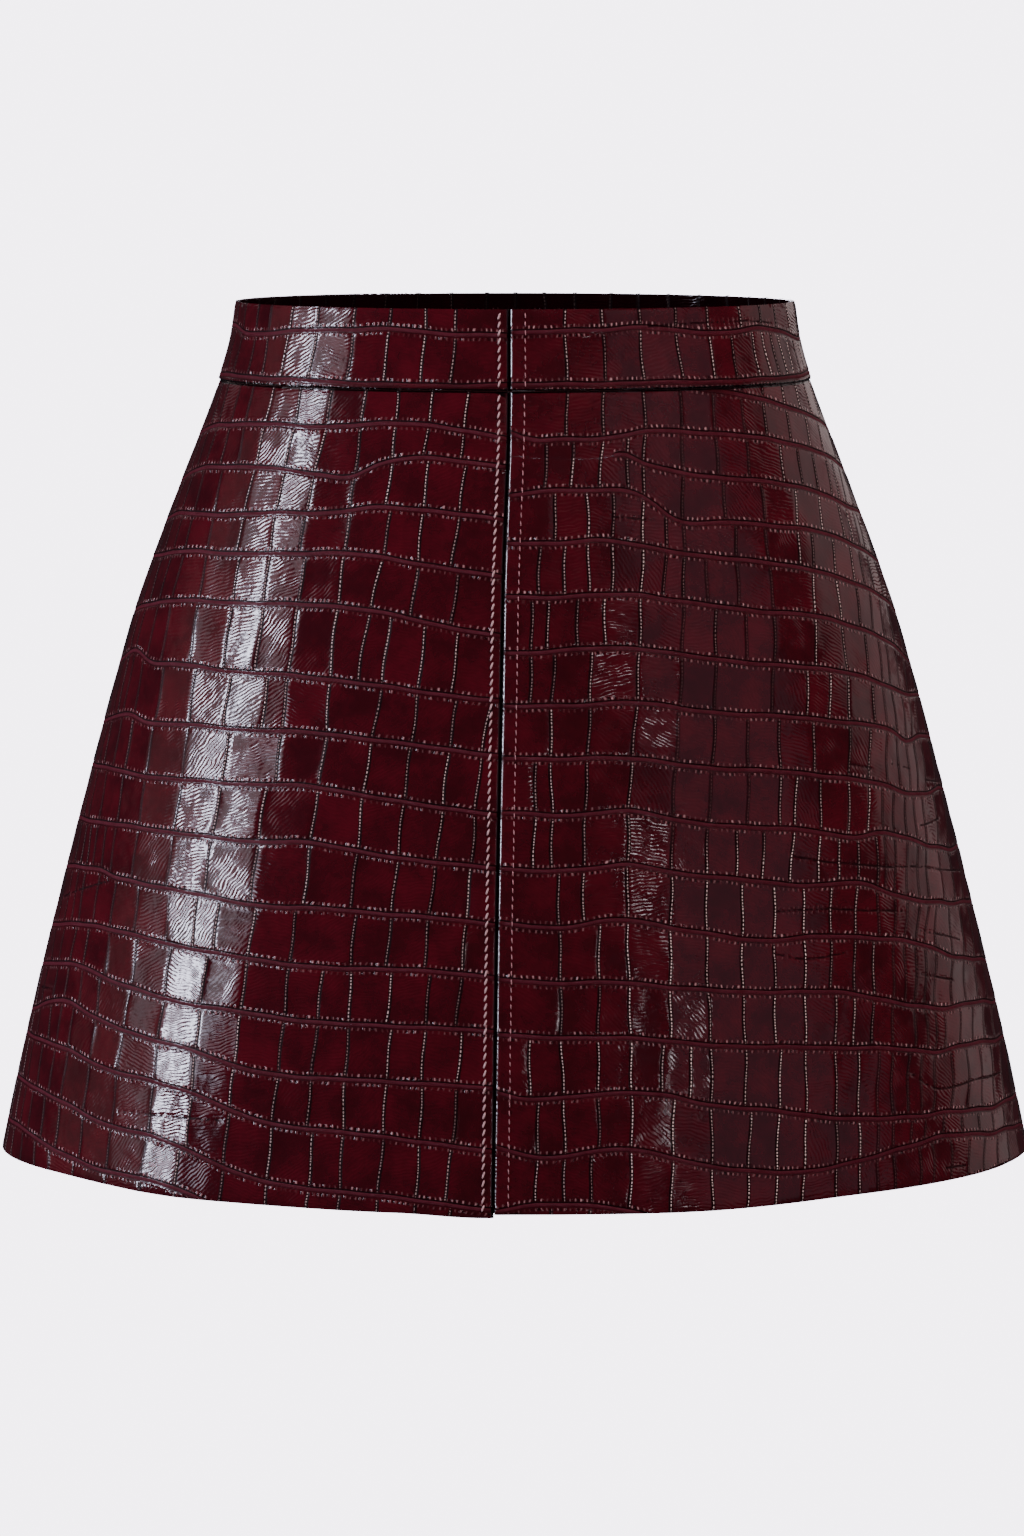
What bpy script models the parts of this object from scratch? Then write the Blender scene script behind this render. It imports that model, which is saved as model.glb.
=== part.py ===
"""A short A-line skirt in leather embossed with square crocodile scales.

Two front panels meet edge to edge down the centre front, a one-piece panel makes the back, and a
waistband in three matching pieces sits on top of them. The skirt is filled out as if worn, open
at the waist and the hem. The front faces -Y, +X is the wearer's left, and the origin is in the
middle of the waist opening, halfway up the waistband.

Every piece is a thin wall that follows one smooth tube. Its face carries the scales as low
plates with grooves between them, and its inside is plain. All tables are in millimetres.
"""

import math
import random
from collections import namedtuple

import bmesh
import bpy
import numpy as np
from mathutils.geometry import delaunay_2d_cdt

MM = 0.001

# ---------------------------------------------------------------- driving sizes, in millimetres

BAND_TOP = 18.5  # the waistband is 37 mm tall, with the origin at its middle
WAIST_SEAM = -18.5
HEM = -392.5
SEAM_GAP = 0.3
SIDE_SEAM = 92.0  # degrees round from the front, so just behind the widest point

LEATHER = 1.5  # one layer
FOLDED = 2.5  # where an edge is turned in
TURN_IN = 10.0  # width of the turned edge along each upright seam
HEM_TURN = 25.0
BAND_PROUD = 0.9  # the band's face stands this far outside the panels
BAND_WALL = 2.7  # two layers and the seam allowance between them

GROOVE = 0.5  # depth of the embossed grooves
ROW_GROOVE = 4.0  # width between two rows of scales
COLUMN_GROOVE = 1.6  # width between two scales of a row
SCALE_WIDTH = 16.5  # on the pieces whose scales aren't placed one by one
SCALE_SPREAD = 0.14  # their widths differ by up to this share
SCALE_JOG = 1.1  # and their sides step by up to this from row to row
FLANK_WIDTH = 12.0  # width of a scale beyond the last one that a row places
MARGIN = 40.0  # a row's first scale reaches back over the piece's edge
JOINED = 3.0  # grooves that meet a row's line closer than this meet in one point
EDGE_ROUND = 1.2  # how far the folded centre front edges curve away

SLANT = 1.02  # leather length for each millimetre of height
OPENING = 1.5  # how much later than its start a fold opens, as a power of the way down
INSIDE_GRID = 24.0  # spacing of the plain inside's points
TURN_STEP = 1.2  # width of the slope between a turned edge and the single layer
ON_PLANE = 0.001  # a point this close to a cut lies on it
MERGE = 0.0001  # points this close are one in the plain inside
WELD = 0.05  # and this close in the face, after its cuts
SNAP = 0.35  # a point this close to an outline moves onto it, so that no sliver is cut

# The tube's level rings. A ring is half_width across each side, front and back are its depths
# from the middle, lens pinches it towards the side seams, and front_seam is the seam's X.
Section = namedtuple("Section", "height half_width front back lens front_seam")
SECTIONS = [
    Section(18.5, 132.8, 94.0, 96.0, 0.00, -2.3),
    Section(0.0, 135.8, 96.3, 98.6, 0.00, -2.3),
    Section(-18.5, 141.2, 99.6, 103.5, 0.00, -2.3),
    Section(-43.0, 150.6, 105.0, 112.5, 0.02, -2.6),
    Section(-72.0, 162.1, 111.0, 122.0, 0.04, -3.7),
    Section(-101.0, 173.2, 116.5, 130.0, 0.06, -4.8),
    Section(-130.0, 183.4, 121.0, 135.5, 0.08, -5.4),
    Section(-160.0, 192.3, 125.0, 139.0, 0.10, -5.9),
    Section(-203.0, 204.1, 131.0, 142.5, 0.13, -6.8),
    Section(-262.0, 219.7, 138.5, 146.5, 0.16, -7.9),
    Section(-321.0, 234.6, 145.0, 150.5, 0.18, -8.7),
    Section(-392.5, 251.0, 152.0, 155.5, 0.20, -9.7),
]

# Soft flutes that open towards the hem: where they are round from the front in degrees, their
# half width in degrees, their depth at the hem and the height that they start from.
Fold = namedtuple("Fold", "angle spread depth start")
FOLDS = [
    Fold(19.0, 9.0, 2.6, -170.0),
    Fold(38.0, 8.0, -2.2, -200.0),
    Fold(62.0, 10.0, 2.0, -220.0),
    Fold(-25.0, 9.0, -1.4, -210.0),
    Fold(-40.0, 7.0, 2.0, -190.0),
    Fold(-58.0, 9.0, -1.8, -230.0),
    Fold(128.0, 12.0, 3.0, -180.0),
    Fold(152.0, 10.0, -2.6, -200.0),
    Fold(178.0, 12.0, 2.6, -210.0),
    Fold(204.0, 10.0, -2.4, -190.0),
    Fold(230.0, 12.0, 3.0, -200.0),
]

# A row of scales: the line along its top, as distance along the hide: distance down the hide,
# and the places along the hide of the lines between its scales. The last row only closes the one
# above. The front pieces' scales differ from row to row, so each is placed. The rows run level on
# the hide, and the panels' tops bend up at the sides, so the first rows lie above the waist seam.
Row = namedtuple("Row", "line columns")
FRONT_RIGHT_ROWS = [
    Row({-70: -34, 120: -32}, [-53, -38, -20, -4, 12, 30, 46, 62, 75, 86, 95, 104, 113]),
    Row({-70: -8, 120: -8}, [-54, -37, -21, -5, 12, 29, 47, 61, 72, 84, 94, 103, 112]),
    Row({-68: 17, -26: 14.5, -4: 16.5, 12: 17.5, 50: 16, 90: 15, 115: 16.5},
        [-55, -38, -23, -6, 12, 29, 46, 59, 71, 83, 92, 101, 110]),
    Row({-70: 30.5, -26: 31.5, -16: 35, -6: 40, 12: 39.5, 45: 36.5, 95: 36, 112: 38},
        [-58, -41, -25, -8, 14, 30, 48, 68, 83, 95, 106, 115]),
    Row({-75: 54.5, -35: 53.5, -20: 54, 0: 57, 28: 58, 75: 58, 103: 56, 115: 57},
        [-59, -43, -28, -9, 12, 28, 47, 66, 81, 92, 103, 111, 120]),
    Row({-78: 80.5, -40: 78, -10: 75.5, 18: 77, 45: 77, 75: 75.5, 120: 75.5},
        [-63, -45, -27, -10, 9, 27, 44, 64, 82, 93, 104, 114, 123]),
    Row({-80: 107.5, -62: 106, -40: 103, -15: 100.5, 30: 100.5, 90: 99, 124: 101},
        [-67, -52, -36, -25, -11, 8, 25, 43, 64, 83, 95, 107, 115, 124, 134]),
    Row({-83: 137.5, -55: 137, -25: 135, 5: 133.5, 45: 132, 74: 129, 88: 128.5, 107: 122, 127: 125},
        [-85, -70, -53, -36, -13, 8, 18, 38, 59, 80, 98, 108, 115, 122, 131]),
    Row({-85: 162.5, -50: 161.5, -13: 159.5, 30: 159.5, 60: 158, 90: 156, 97: 154, 131: 154.5},
        [-84, -70, -53, -34, -14, 8, 35, 58, 82, 98, 110, 120, 127, 137]),
    Row({-93: 189.5, -55: 188.5, -40: 187, -12: 184.5, 35: 185, 60: 184, 90: 182, 114: 178.5,
         137: 176.5},
        [-86, -71, -53, -35, -13, 12, 36, 59, 83, 100, 115, 127, 136, 145]),
    Row({-95: 214, -60: 214.5, -35: 212.5, -14: 210.5, 20: 211.5, 55: 209.5, 81: 207.5, 117: 204.5},
        [-88, -71, -54, -35, -13, 13, 38, 60, 83, 100, 108, 116, 122, 128, 135, 143, 151]),
    Row({-95: 240, -30: 240.5, 20: 240.5, 50: 236.5, 83: 233, 96: 231, 107: 228, 129: 226.5,
         143: 226},
        [-88, -72, -55, -38, -10, 10, 29, 41, 57, 77, 94, 108, 120, 128, 136, 146, 156]),
    Row({-100: 264.5, -60: 265.5, -25: 268, 5: 266.5, 35: 264, 60: 261, 88: 257, 103: 255,
         148: 254.5},
        [-90, -75, -58, -40, -26, -10, 11, 32, 53, 74, 94, 111, 122, 133, 144, 153, 162]),
    Row({-105: 289.5, -60: 292, -30: 293.5, 10: 291.5, 50: 288, 88: 281, 113: 274.5, 131: 273.5,
         151: 273.5},
        [-93, -77, -61, -42, -26, -10, 11, 32, 54, 76, 97, 112, 124, 135, 147, 157, 167]),
    Row({-108: 315.5, -60: 318, -30: 319.5, 3: 318.5, 12: 317, 33: 311, 65: 306.5, 99: 298.5,
         124: 291.5, 157: 295.5},
        [-95, -79, -62, -43, -27, -10, 13, 33, 55, 78, 97, 115, 125, 134, 147, 156, 165, 174]),
    Row({-110: 344, -30: 343.5, -12: 343, 8: 339, 28: 332, 50: 328, 88: 322.5, 117: 315,
         139: 311, 160: 308.5},
        [-95, -81, -64, -45, -30, -10, 11, 32, 54, 79, 99, 116, 127, 138, 150, 158, 168, 178]),
    Row({-100: 371, -40: 371.5, -12: 370.5, 4: 367.5, 22: 361, 45: 354.5, 88: 348.5, 117: 340,
         139: 334.5, 166: 330},
        [-98, -83, -64, -46, -31, -10, 13, 36, 56, 79, 100, 118, 130, 142, 151, 159, 168, 178]),
    Row({-100: 396, 0: 392, 12: 385, 30: 378, 60: 373, 88: 371, 117: 364, 146: 355, 175: 350},
        [-100, -84, -65, -47, -31, -10, 13, 36, 57, 81, 103, 122, 134, 147, 158, 168, 178]),
    Row({-100: 420, 0: 417, 88: 397, 170: 377}, []),
]
FRONT_LEFT_ROWS = [
    Row({0: -58, 220: -54}, [26, 43, 62, 80, 97, 112, 127, 140, 151, 163, 175, 186, 197]),
    Row({0: -33, 220: -31}, [26, 43, 62, 80, 97, 114, 128, 142, 154, 165, 176, 188]),
    Row({0: -8, 200: -8}, [26, 43, 62, 80, 97, 113, 126, 142, 157, 170, 184]),
    Row({2: 20, 8: 22, 25: 21.5, 40: 20.5, 52: 18.5, 62: 15.5, 72: 14.5, 100: 12.5, 130: 10.5,
         200: 10},
        [17, 29, 42, 54, 62, 80, 97, 114, 134, 146, 158, 168, 175, 182, 190]),
    Row({2: 30.5, 41: 29.5, 54: 27.5, 62: 30.5, 80: 33, 95: 33.5, 130: 31, 150: 30.5, 185: 32,
         205: 30},
        [16, 28, 41, 54, 61, 79, 100, 120, 140, 156, 172, 179, 186, 192, 200]),
    Row({2: 48, 10: 46.5, 40: 44.5, 58: 45, 66: 49, 74: 54, 105: 53.5, 120: 52.5, 150: 50.5,
         200: 53},
        [21, 35, 47, 61, 72, 80, 105, 121, 139, 148, 162, 175, 183, 191, 201]),
    Row({2: 70, 20: 69.5, 45: 67.5, 62: 69, 85: 71, 130: 70, 180: 71.5, 200: 73.5},
        [15, 26, 37, 47, 60, 70, 79, 90, 105, 122, 146, 162, 176, 186, 195, 204]),
    Row({2: 94.5, 20: 94.5, 50: 92, 60: 91.5, 75: 93, 110: 94, 150: 92, 180: 93.5, 200: 96},
        [12, 19, 32, 44, 60, 79, 94, 109, 124, 146, 164, 179, 189, 196, 206, 214]),
    Row({2: 120.5, 15: 120, 45: 117, 58: 116.5, 85: 118.5, 130: 118, 165: 116, 206: 118.5,
         220: 117, 246: 112},
        [12, 22, 38, 59, 79, 95, 122, 141, 154, 166, 182, 191, 198, 206, 213, 221]),
    Row({2: 145, 30: 144.5, 57: 141.5, 85: 143.5, 130: 142, 160: 140.5, 196: 140, 206: 142,
         220: 138, 254: 133},
        [21, 38, 58, 77, 94, 110, 126, 145, 166, 179, 190, 199, 207, 214, 222]),
    Row({2: 169, 20: 169.5, 50: 167.5, 85: 169.5, 145: 167.5, 190: 167, 210: 168, 222: 166,
         240: 160, 262: 155},
        [15, 22, 38, 57, 77, 94, 112, 128, 136, 149, 165, 177, 186, 194, 203, 210, 218]),
    Row({2: 194.5, 30: 195, 56: 192, 80: 195, 110: 196, 140: 194, 170: 194.5, 186: 190, 223: 192,
         241: 189.5, 271: 182},
        [15, 23, 36, 56, 76, 92, 107, 120, 134, 149, 160, 171, 182, 188, 194, 202, 210, 217]),
    Row({2: 220.5, 15: 221, 45: 218.5, 56: 217, 80: 219.5, 110: 220.5, 150: 219.5, 170: 216,
         206: 220, 244: 215.5, 283: 209},
        [26, 38, 57, 77, 93, 110, 126, 141, 156, 171, 184, 194, 201, 209, 215, 222]),
    Row({2: 245.5, 28: 247, 50: 243, 58: 242.5, 82: 245.5, 122: 248, 145: 244.5, 201: 240.5,
         244: 243, 291: 236.5},
        [28, 45, 58, 77, 94, 111, 127, 143, 157, 169, 181, 193, 200, 207, 213, 220]),
    Row({2: 271.5, 28: 273, 55: 271.5, 85: 273, 145: 270.5, 160: 269, 205: 271, 234: 268,
         249: 264.5, 299: 255.5},
        [28, 45, 59, 78, 96, 113, 129, 144, 160, 171, 181, 192, 206, 214, 220, 226]),
    Row({2: 297, 30: 298.5, 60: 297, 90: 298.5, 120: 298, 155: 296, 185: 293.5, 223: 290.5,
         249: 284.5, 277: 278, 306: 271.5},
        [15, 30, 46, 61, 75, 88, 98, 115, 132, 146, 162, 174, 185, 193, 203, 211, 219]),
    Row({2: 324.5, 8: 326.5, 20: 327, 50: 323.5, 62: 322.5, 75: 323, 95: 326, 125: 327.5,
         180: 328, 211: 323, 249: 316.5, 300: 303},
        [19, 31, 47, 62, 81, 99, 118, 132, 147, 164, 176, 186, 195, 206, 215]),
    Row({2: 350, 20: 354.5, 45: 350.5, 58: 349, 80: 352, 92: 354, 118: 356.5, 155: 354, 178: 348,
         200: 340, 217: 334.5, 263: 325.5},
        [19, 32, 44, 62, 81, 101, 118, 133, 147, 165, 178, 187, 196, 211, 219]),
    Row({0: 380, 20: 376.5, 45: 376, 80: 381, 120: 385, 200: 368, 260: 345, 300: 335},
        [26, 44, 62, 81, 101, 118, 133, 147, 166, 178, 188, 198, 212, 221]),
    Row({0: 402, 120: 408, 200: 392, 300: 360}, []),
]
BAND_FRONT_RIGHT_ROWS = [
    Row({0: -12, 190: -12}, [25, 40, 57, 75, 95, 111, 127, 137, 150, 162]),
    Row({0: 12, 35: 11, 57: 9.5, 76: 10, 100: 11, 125: 13, 145: 14, 165: 11, 185: 12},
        [26, 40, 58, 76, 96, 113, 125, 136, 150, 160, 172]),
    Row({0: 34.5, 40: 35, 100: 34, 190: 34.5}, [18, 34, 50, 67, 84, 100, 117, 133, 150, 166]),
    Row({0: 60, 190: 60}, []),
]
BAND_FRONT_LEFT_ROWS = [
    Row({0: -12, 190: -12}, [26, 44, 62, 80, 98, 117, 131, 143, 158, 172]),
    Row({0: 10.5, 44: 9.5, 62: 8.5, 80: 10.5, 105: 12, 130: 11, 145: 12.5, 175: 18, 195: 16},
        [25, 43, 61, 80, 97, 110, 124, 131, 138, 145, 152, 160, 168, 176]),
    Row({0: 34.5, 60: 34, 120: 34.5, 190: 34}, [17, 33, 50, 66, 83, 100, 116, 133, 150, 166]),
    Row({0: 60, 190: 60}, []),
]


def even_rows(seed, lines, wave, reach):
    """Rows of a hidden piece: soft waves, and scales as uneven as the others."""
    rng = random.Random(seed)
    sides = [0.0]
    while sides[-1] < reach:
        sides.append(sides[-1] + SCALE_WIDTH * rng.uniform(1 - SCALE_SPREAD, 1 + SCALE_SPREAD))
    while sides[0] > -reach:
        sides.insert(0, sides[0] - SCALE_WIDTH * rng.uniform(1 - SCALE_SPREAD, 1 + SCALE_SPREAD))
    rows = []
    for line in lines:
        bends = {along: line + rng.uniform(-wave, wave) for along in range(-reach, reach + 1, 60)}
        rows.append(Row(bends, [side + rng.uniform(-SCALE_JOG, SCALE_JOG) for side in sides]))
    return rows


BACK_ROWS = even_rows(37, [-56.8 + 25.4 * k for k in range(20)], 2.2, 360)
BAND_BACK_ROWS = even_rows(67, [-12.0, 10.5, 34.5, 60.0], 0.7, 240)

# The pieces. start and end are edges in degrees round from the front, and None is the centre
# front. spine is the share of the way across where the rows count from. curved says that the
# piece is cut as a sector of a ring.
Piece = namedtuple("Piece", "name start end top bottom curved spine rows colour")
PANEL = dict(top=WAIST_SEAM - SEAM_GAP / 2, bottom=HEM, curved=True)
BAND = dict(top=BAND_TOP, bottom=WAIST_SEAM + SEAM_GAP / 2, curved=False)
PIECES = [
    Piece("front_right_panel", None, -SIDE_SEAM, **PANEL, spine=0.38, rows=FRONT_RIGHT_ROWS,
          colour=(0.090, 0.008, 0.014)),
    Piece("front_left_panel", None, SIDE_SEAM, **PANEL, spine=0.0, rows=FRONT_LEFT_ROWS,
          colour=(0.090, 0.008, 0.014)),
    Piece("back_panel", SIDE_SEAM, 360.0 - SIDE_SEAM, **PANEL, spine=0.5, rows=BACK_ROWS,
          colour=(0.086, 0.008, 0.014)),
    Piece("waistband_front_right", None, -SIDE_SEAM, **BAND, spine=0.0,
          rows=BAND_FRONT_RIGHT_ROWS, colour=(0.094, 0.009, 0.015)),
    Piece("waistband_front_left", None, SIDE_SEAM, **BAND, spine=0.0,
          rows=BAND_FRONT_LEFT_ROWS, colour=(0.094, 0.009, 0.015)),
    Piece("waistband_back", SIDE_SEAM, 360.0 - SIDE_SEAM, **BAND, spine=0.5,
          rows=BAND_BACK_ROWS, colour=(0.090, 0.009, 0.015)),
]


# ---------------------------------------------------------------- the tube that the pieces follow


def curve(xs, ys, x):
    """A smooth curve through some points, straight on beyond the first and the last of them."""
    xs = np.asarray(xs, float)
    ys = np.asarray(ys, float)
    slopes = np.gradient(ys, xs)
    inside = np.clip(x, xs[0], xs[-1])
    i = np.clip(np.searchsorted(xs, inside) - 1, 0, len(xs) - 2)
    step = xs[i + 1] - xs[i]
    t = (inside - xs[i]) / step
    start = ys[i] * (1 + 2 * t) * (1 - t) ** 2 + slopes[i] * step * t * (1 - t) ** 2
    end = ys[i + 1] * t * t * (3 - 2 * t) - slopes[i + 1] * step * t * t * (1 - t)
    return start + end + np.where(x < xs[0], slopes[0], slopes[-1]) * (x - inside)


def at_height(height, column):
    """One column of SECTIONS at any height."""
    rising = SECTIONS[::-1]
    heights = [section.height for section in rising]
    return curve(heights, [getattr(section, column) for section in rising], height)


def flute(angle, height):
    """How far the soft folds push the face out, in millimetres."""
    push = np.zeros(np.broadcast(angle, height).shape)
    for fold in FOLDS:
        away = (np.degrees(angle) - fold.angle + 180) % 360 - 180
        open_by = np.clip((fold.start - height) / (fold.start - HEM), 0, 1)
        push += fold.depth * np.exp(-((away / fold.spread) ** 2)) * open_by**OPENING
    return push


def tube_point(angle, height):
    """The face of the leather at an angle round from the front (radians) and a height."""
    angle, height = np.broadcast_arrays(np.asarray(angle, float), np.asarray(height, float))
    width = at_height(height, "half_width")
    front = at_height(height, "front")
    back = at_height(height, "back")
    depth = np.where(np.cos(angle) > 0, front, back)
    pinch = 1 - at_height(height, "lens") * np.sin(angle) ** 4
    x = width * np.sin(angle)
    y = -depth * np.cos(angle) * pinch
    out = np.stack([x / width**2, y / depth**2], -1)
    out /= np.linalg.norm(out, axis=-1, keepdims=True)
    push = flute(angle, height)
    return np.stack([x + out[..., 0] * push, y + out[..., 1] * push, height], -1)


def tube_normal(angle, height):
    """The outward direction there."""
    reach = 0.001
    around = tube_point(angle + reach, height) - tube_point(angle - reach, height)
    up = tube_point(angle, height + reach) - tube_point(angle, height - reach)
    normal = np.cross(around, up)
    return normal / np.linalg.norm(normal, axis=-1, keepdims=True)


class Stretch:
    """The part of the tube that one piece covers, measured along the leather."""

    RINGS = 60
    SAMPLES = 400
    BELOW_HEM = 8.0

    def __init__(self, piece):
        self.heights = np.linspace(piece.bottom - self.BELOW_HEM, piece.top, self.RINGS)
        start = self.edge_angle(piece.start)
        end = self.edge_angle(piece.end)
        share = np.linspace(0, 1, self.SAMPLES)
        self.lengths = []
        self.angles = []
        for k, height in enumerate(self.heights):
            angles = start[k] + (end[k] - start[k]) * share
            steps = np.diff(tube_point(angles, height), axis=0)
            run = np.concatenate([[0], np.cumsum(np.linalg.norm(steps, axis=1))])
            even = SEAM_GAP / 2 + share * (run[-1] - SEAM_GAP)
            self.lengths.append(run[-1] - SEAM_GAP)
            self.angles.append(np.interp(even, run, angles))
        self.lengths = np.array(self.lengths)
        self.angles = np.array(self.angles)

    def edge_angle(self, edge):
        """An edge's angle at each ring. None stands for the centre front seam."""
        if edge is not None:
            return np.full(self.RINGS, math.radians(edge))
        seam = at_height(self.heights, "front_seam")
        return np.arcsin(seam / at_height(self.heights, "half_width"))

    def length(self, height):
        return np.interp(height, self.heights, self.lengths)

    def angle(self, across, height):
        """The angle round, for a share of the way across the piece and a height."""
        row = np.interp(height, self.heights, np.arange(self.RINGS))
        column = np.clip(across, 0, 1) * (self.SAMPLES - 1)
        i = np.minimum(row.astype(int), self.RINGS - 2)
        j = np.minimum(column.astype(int), self.SAMPLES - 2)
        a, b = row - i, column - j
        below = self.angles[i, j] * (1 - b) + self.angles[i, j + 1] * b
        above = self.angles[i + 1, j] * (1 - b) + self.angles[i + 1, j + 1] * b
        return below * (1 - a) + above * a


# ---------------------------------------------------------------- the flat leather and its scales


class Pattern:
    """A piece laid flat, on the hide that its scales are pressed into.

    Along and down are distances on the hide, measured from the spine and from the top edge.
    Across (0 to 1) and drop (millimetres of height below the top edge) are places on the piece.
    """

    def __init__(self, piece):
        self.piece = piece
        self.stretch = Stretch(piece)
        self.fall = piece.top - piece.bottom
        top = self.stretch.length(piece.top)
        bottom = self.stretch.length(piece.bottom)
        self.mean = (top + bottom) / 2
        self.reach = bottom * (1 - piece.spine)
        self.sector = (bottom - top) / (self.fall * SLANT)
        self.radius = top / self.sector

    def place(self, along, down):
        """Where a point of the hide lies on the piece, as across and drop."""
        if not self.piece.curved:
            return self.piece.spine + along / self.mean, down
        turn = self.piece.spine * self.sector + np.arctan2(along, down + self.radius)
        out = np.hypot(along, down + self.radius)
        return turn / self.sector, (out - self.radius) / SLANT

    def columns(self, row):
        """A row's lines between scales, with more beyond its last so that it covers the piece."""
        places = [row.columns[0] - MARGIN, *row.columns]
        while places[-1] < self.reach:
            places.append(places[-1] + FLANK_WIDTH)
        return places


def meeting_points(above, below):
    """Where the grooves of the rows above and below a line meet it."""
    groups = []
    for along, row in sorted([(a, "above") for a in above] + [(b, "below") for b in below]):
        near = groups and len(groups[-1]) == 1 and along - groups[-1][0][0] < JOINED
        if near and groups[-1][0][1] != row:
            groups[-1].append((along, row))
        else:
            groups.append([(along, row)])
    return [sum(along for along, _ in group) / len(group) for group in groups]


def scale_grid(pattern):
    """Points (along, down, lift) and faces of the raised plates and of the grooves between."""
    rows = pattern.piece.rows
    columns = [pattern.columns(row) for row in rows[:-1]]
    points = []
    faces = []

    def add(along, row, lower, lift):
        down = float(curve(list(row.line), list(row.line.values()), along))
        points.append((along, down + lower, lift))
        return len(points) - 1

    meets = []
    knots = []
    for above, below, row in zip([[], *columns], [*columns, []], rows, strict=True):
        meets.append(meeting_points(above, below))
        knots.append([add(along, row, 0, -GROOVE) for along in meets[-1]])

    def knot(i, along):
        return int(np.argmin(np.abs(np.array(meets[i]) - along)))

    half_column = COLUMN_GROOVE / 2
    half_row = ROW_GROOVE / 2
    for i, column in enumerate(columns):
        for left, right in zip(column[:-1], column[1:], strict=True):
            above = (knot(i, left), knot(i, right))
            below = (knot(i + 1, left), knot(i + 1, right))
            plate = [
                add(meets[i][above[0]] + half_column, rows[i], half_row, 0),
                add(meets[i][above[1]] - half_column, rows[i], half_row, 0),
                add(meets[i + 1][below[1]] - half_column, rows[i + 1], -half_row, 0),
                add(meets[i + 1][below[0]] + half_column, rows[i + 1], -half_row, 0),
            ]
            top = knots[i][above[0] : above[1] + 1]
            bottom = knots[i + 1][below[0] : below[1] + 1][::-1]
            faces.append(plate)
            faces.append([*top, plate[1], plate[0]])
            faces.append([top[-1], bottom[0], plate[2], plate[1]])
            faces.append([*bottom, plate[3], plate[2]])
            faces.append([bottom[-1], top[0], plate[0], plate[3]])
    return np.array(points), faces


def snapped(values, lines):
    """The values, with those within SNAP of a line moved onto it."""
    for line in lines:
        values = np.where(np.abs(values - line) < SNAP, line, values)
    return values


def face_sheet(pattern):
    """The piece's face as a flat mesh cut to its outline: X across, -Y down, and the lift."""
    points, faces = scale_grid(pattern)
    across, drop = pattern.place(points[:, 0], points[:, 1])
    folds = [EDGE_ROUND] if pattern.piece.start is None else []
    x = snapped(across * pattern.mean, [0, pattern.mean, *folds])
    y = snapped(drop, [0, pattern.fall])
    bm = bmesh.new()
    lift = bm.verts.layers.float.new("lift")
    for px, py, pz in zip(x, y, points[:, 2], strict=True):
        bm.verts.new((px, -py, 0))[lift] = pz
    bm.verts.ensure_lookup_table()
    for face in faces:
        bm.faces.new([bm.verts[i] for i in face])
    outline = [
        ((0, 0, 0), (-1, 0, 0)),
        ((pattern.mean, 0, 0), (1, 0, 0)),
        ((0, 0, 0), (0, 1, 0)),
        ((0, -pattern.fall, 0), (0, -1, 0)),
    ]
    for point, away in outline:
        cut(bm, point, away, True)
    for line in folds:
        cut(bm, (line, 0, 0), (1, 0, 0), False)
    bmesh.ops.remove_doubles(bm, verts=bm.verts, dist=WELD)
    rim = {vert for edge in bm.edges if edge.is_boundary for vert in edge.verts}
    bmesh.ops.remove_doubles(bm, verts=list(rim), dist=SNAP)
    bmesh.ops.triangulate(bm, faces=[f for f in bm.faces if len(f.verts) > 4])
    return bm


def cut(bm, point, away, clear):
    geometry = bm.verts[:] + bm.edges[:] + bm.faces[:]
    bmesh.ops.bisect_plane(
        bm, geom=geometry, dist=ON_PLANE, plane_co=point, plane_no=away, clear_outer=clear
    )


# ---------------------------------------------------------------- walls from flat sheets


def lifted(pattern, flat, lift):
    """Points of the flat sheet brought to their place on the tube, lift outside its face."""
    piece = pattern.piece
    drop = -flat[:, 1]
    across = flat[:, 0] / pattern.mean
    height = piece.top - drop
    angle = pattern.stretch.angle(across, height)
    return tube_point(angle, height) + tube_normal(angle, height) * lift[:, None]


def edge_distance(pattern, flat):
    """Distance of each flat point from the start and the end edge, measured on the leather."""
    length = pattern.stretch.length(pattern.piece.top + flat[:, 1])
    across = flat[:, 0] / pattern.mean
    return across * length, (1 - across) * length


def face_lift(pattern, flat, lift):
    """The lift of the face: scales, rounded centre front edge, and the band's own height."""
    from_start, _ = edge_distance(pattern, flat)
    lift = lift + (0 if pattern.piece.curved else BAND_PROUD)
    if pattern.piece.start is None:
        rounded = np.clip(1 - from_start / EDGE_ROUND, 0, 1) ** 2
        lift = lift - rounded * EDGE_ROUND / 2
    return lift


def inside_lift(pattern, flat):
    """The depth of the plain inside: one layer, or more where an edge is turned in."""
    if not pattern.piece.curved:
        return np.full(len(flat), BAND_PROUD - BAND_WALL)
    from_start, from_end = edge_distance(pattern, flat)
    from_hem = pattern.fall + flat[:, 1]
    turned = (np.minimum(from_start, from_end) < TURN_IN) | (from_hem < HEM_TURN)
    return -np.where(turned, FOLDED, LEATHER)


def boundary_loop(bm):
    """The outline's points in order round the sheet."""
    start = next(edge for edge in bm.edges if edge.is_boundary)
    first, current = start.verts
    loop = [first, current]
    edge = start
    while True:
        edge = next(e for e in current.link_edges if e.is_boundary and e is not edge)
        current = edge.other_vert(current)
        if current is first:
            return loop
        loop.append(current)


def spaced(length, step, turn):
    """Places for inside points along one direction: both sides of each turned edge, then even."""
    outer = turn - TURN_STEP / 2
    inner = turn + TURN_STEP / 2
    count = max(round((length - 2 * inner) / step), 2)
    return [outer, *np.linspace(inner, length - inner, count), length - outer]


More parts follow.
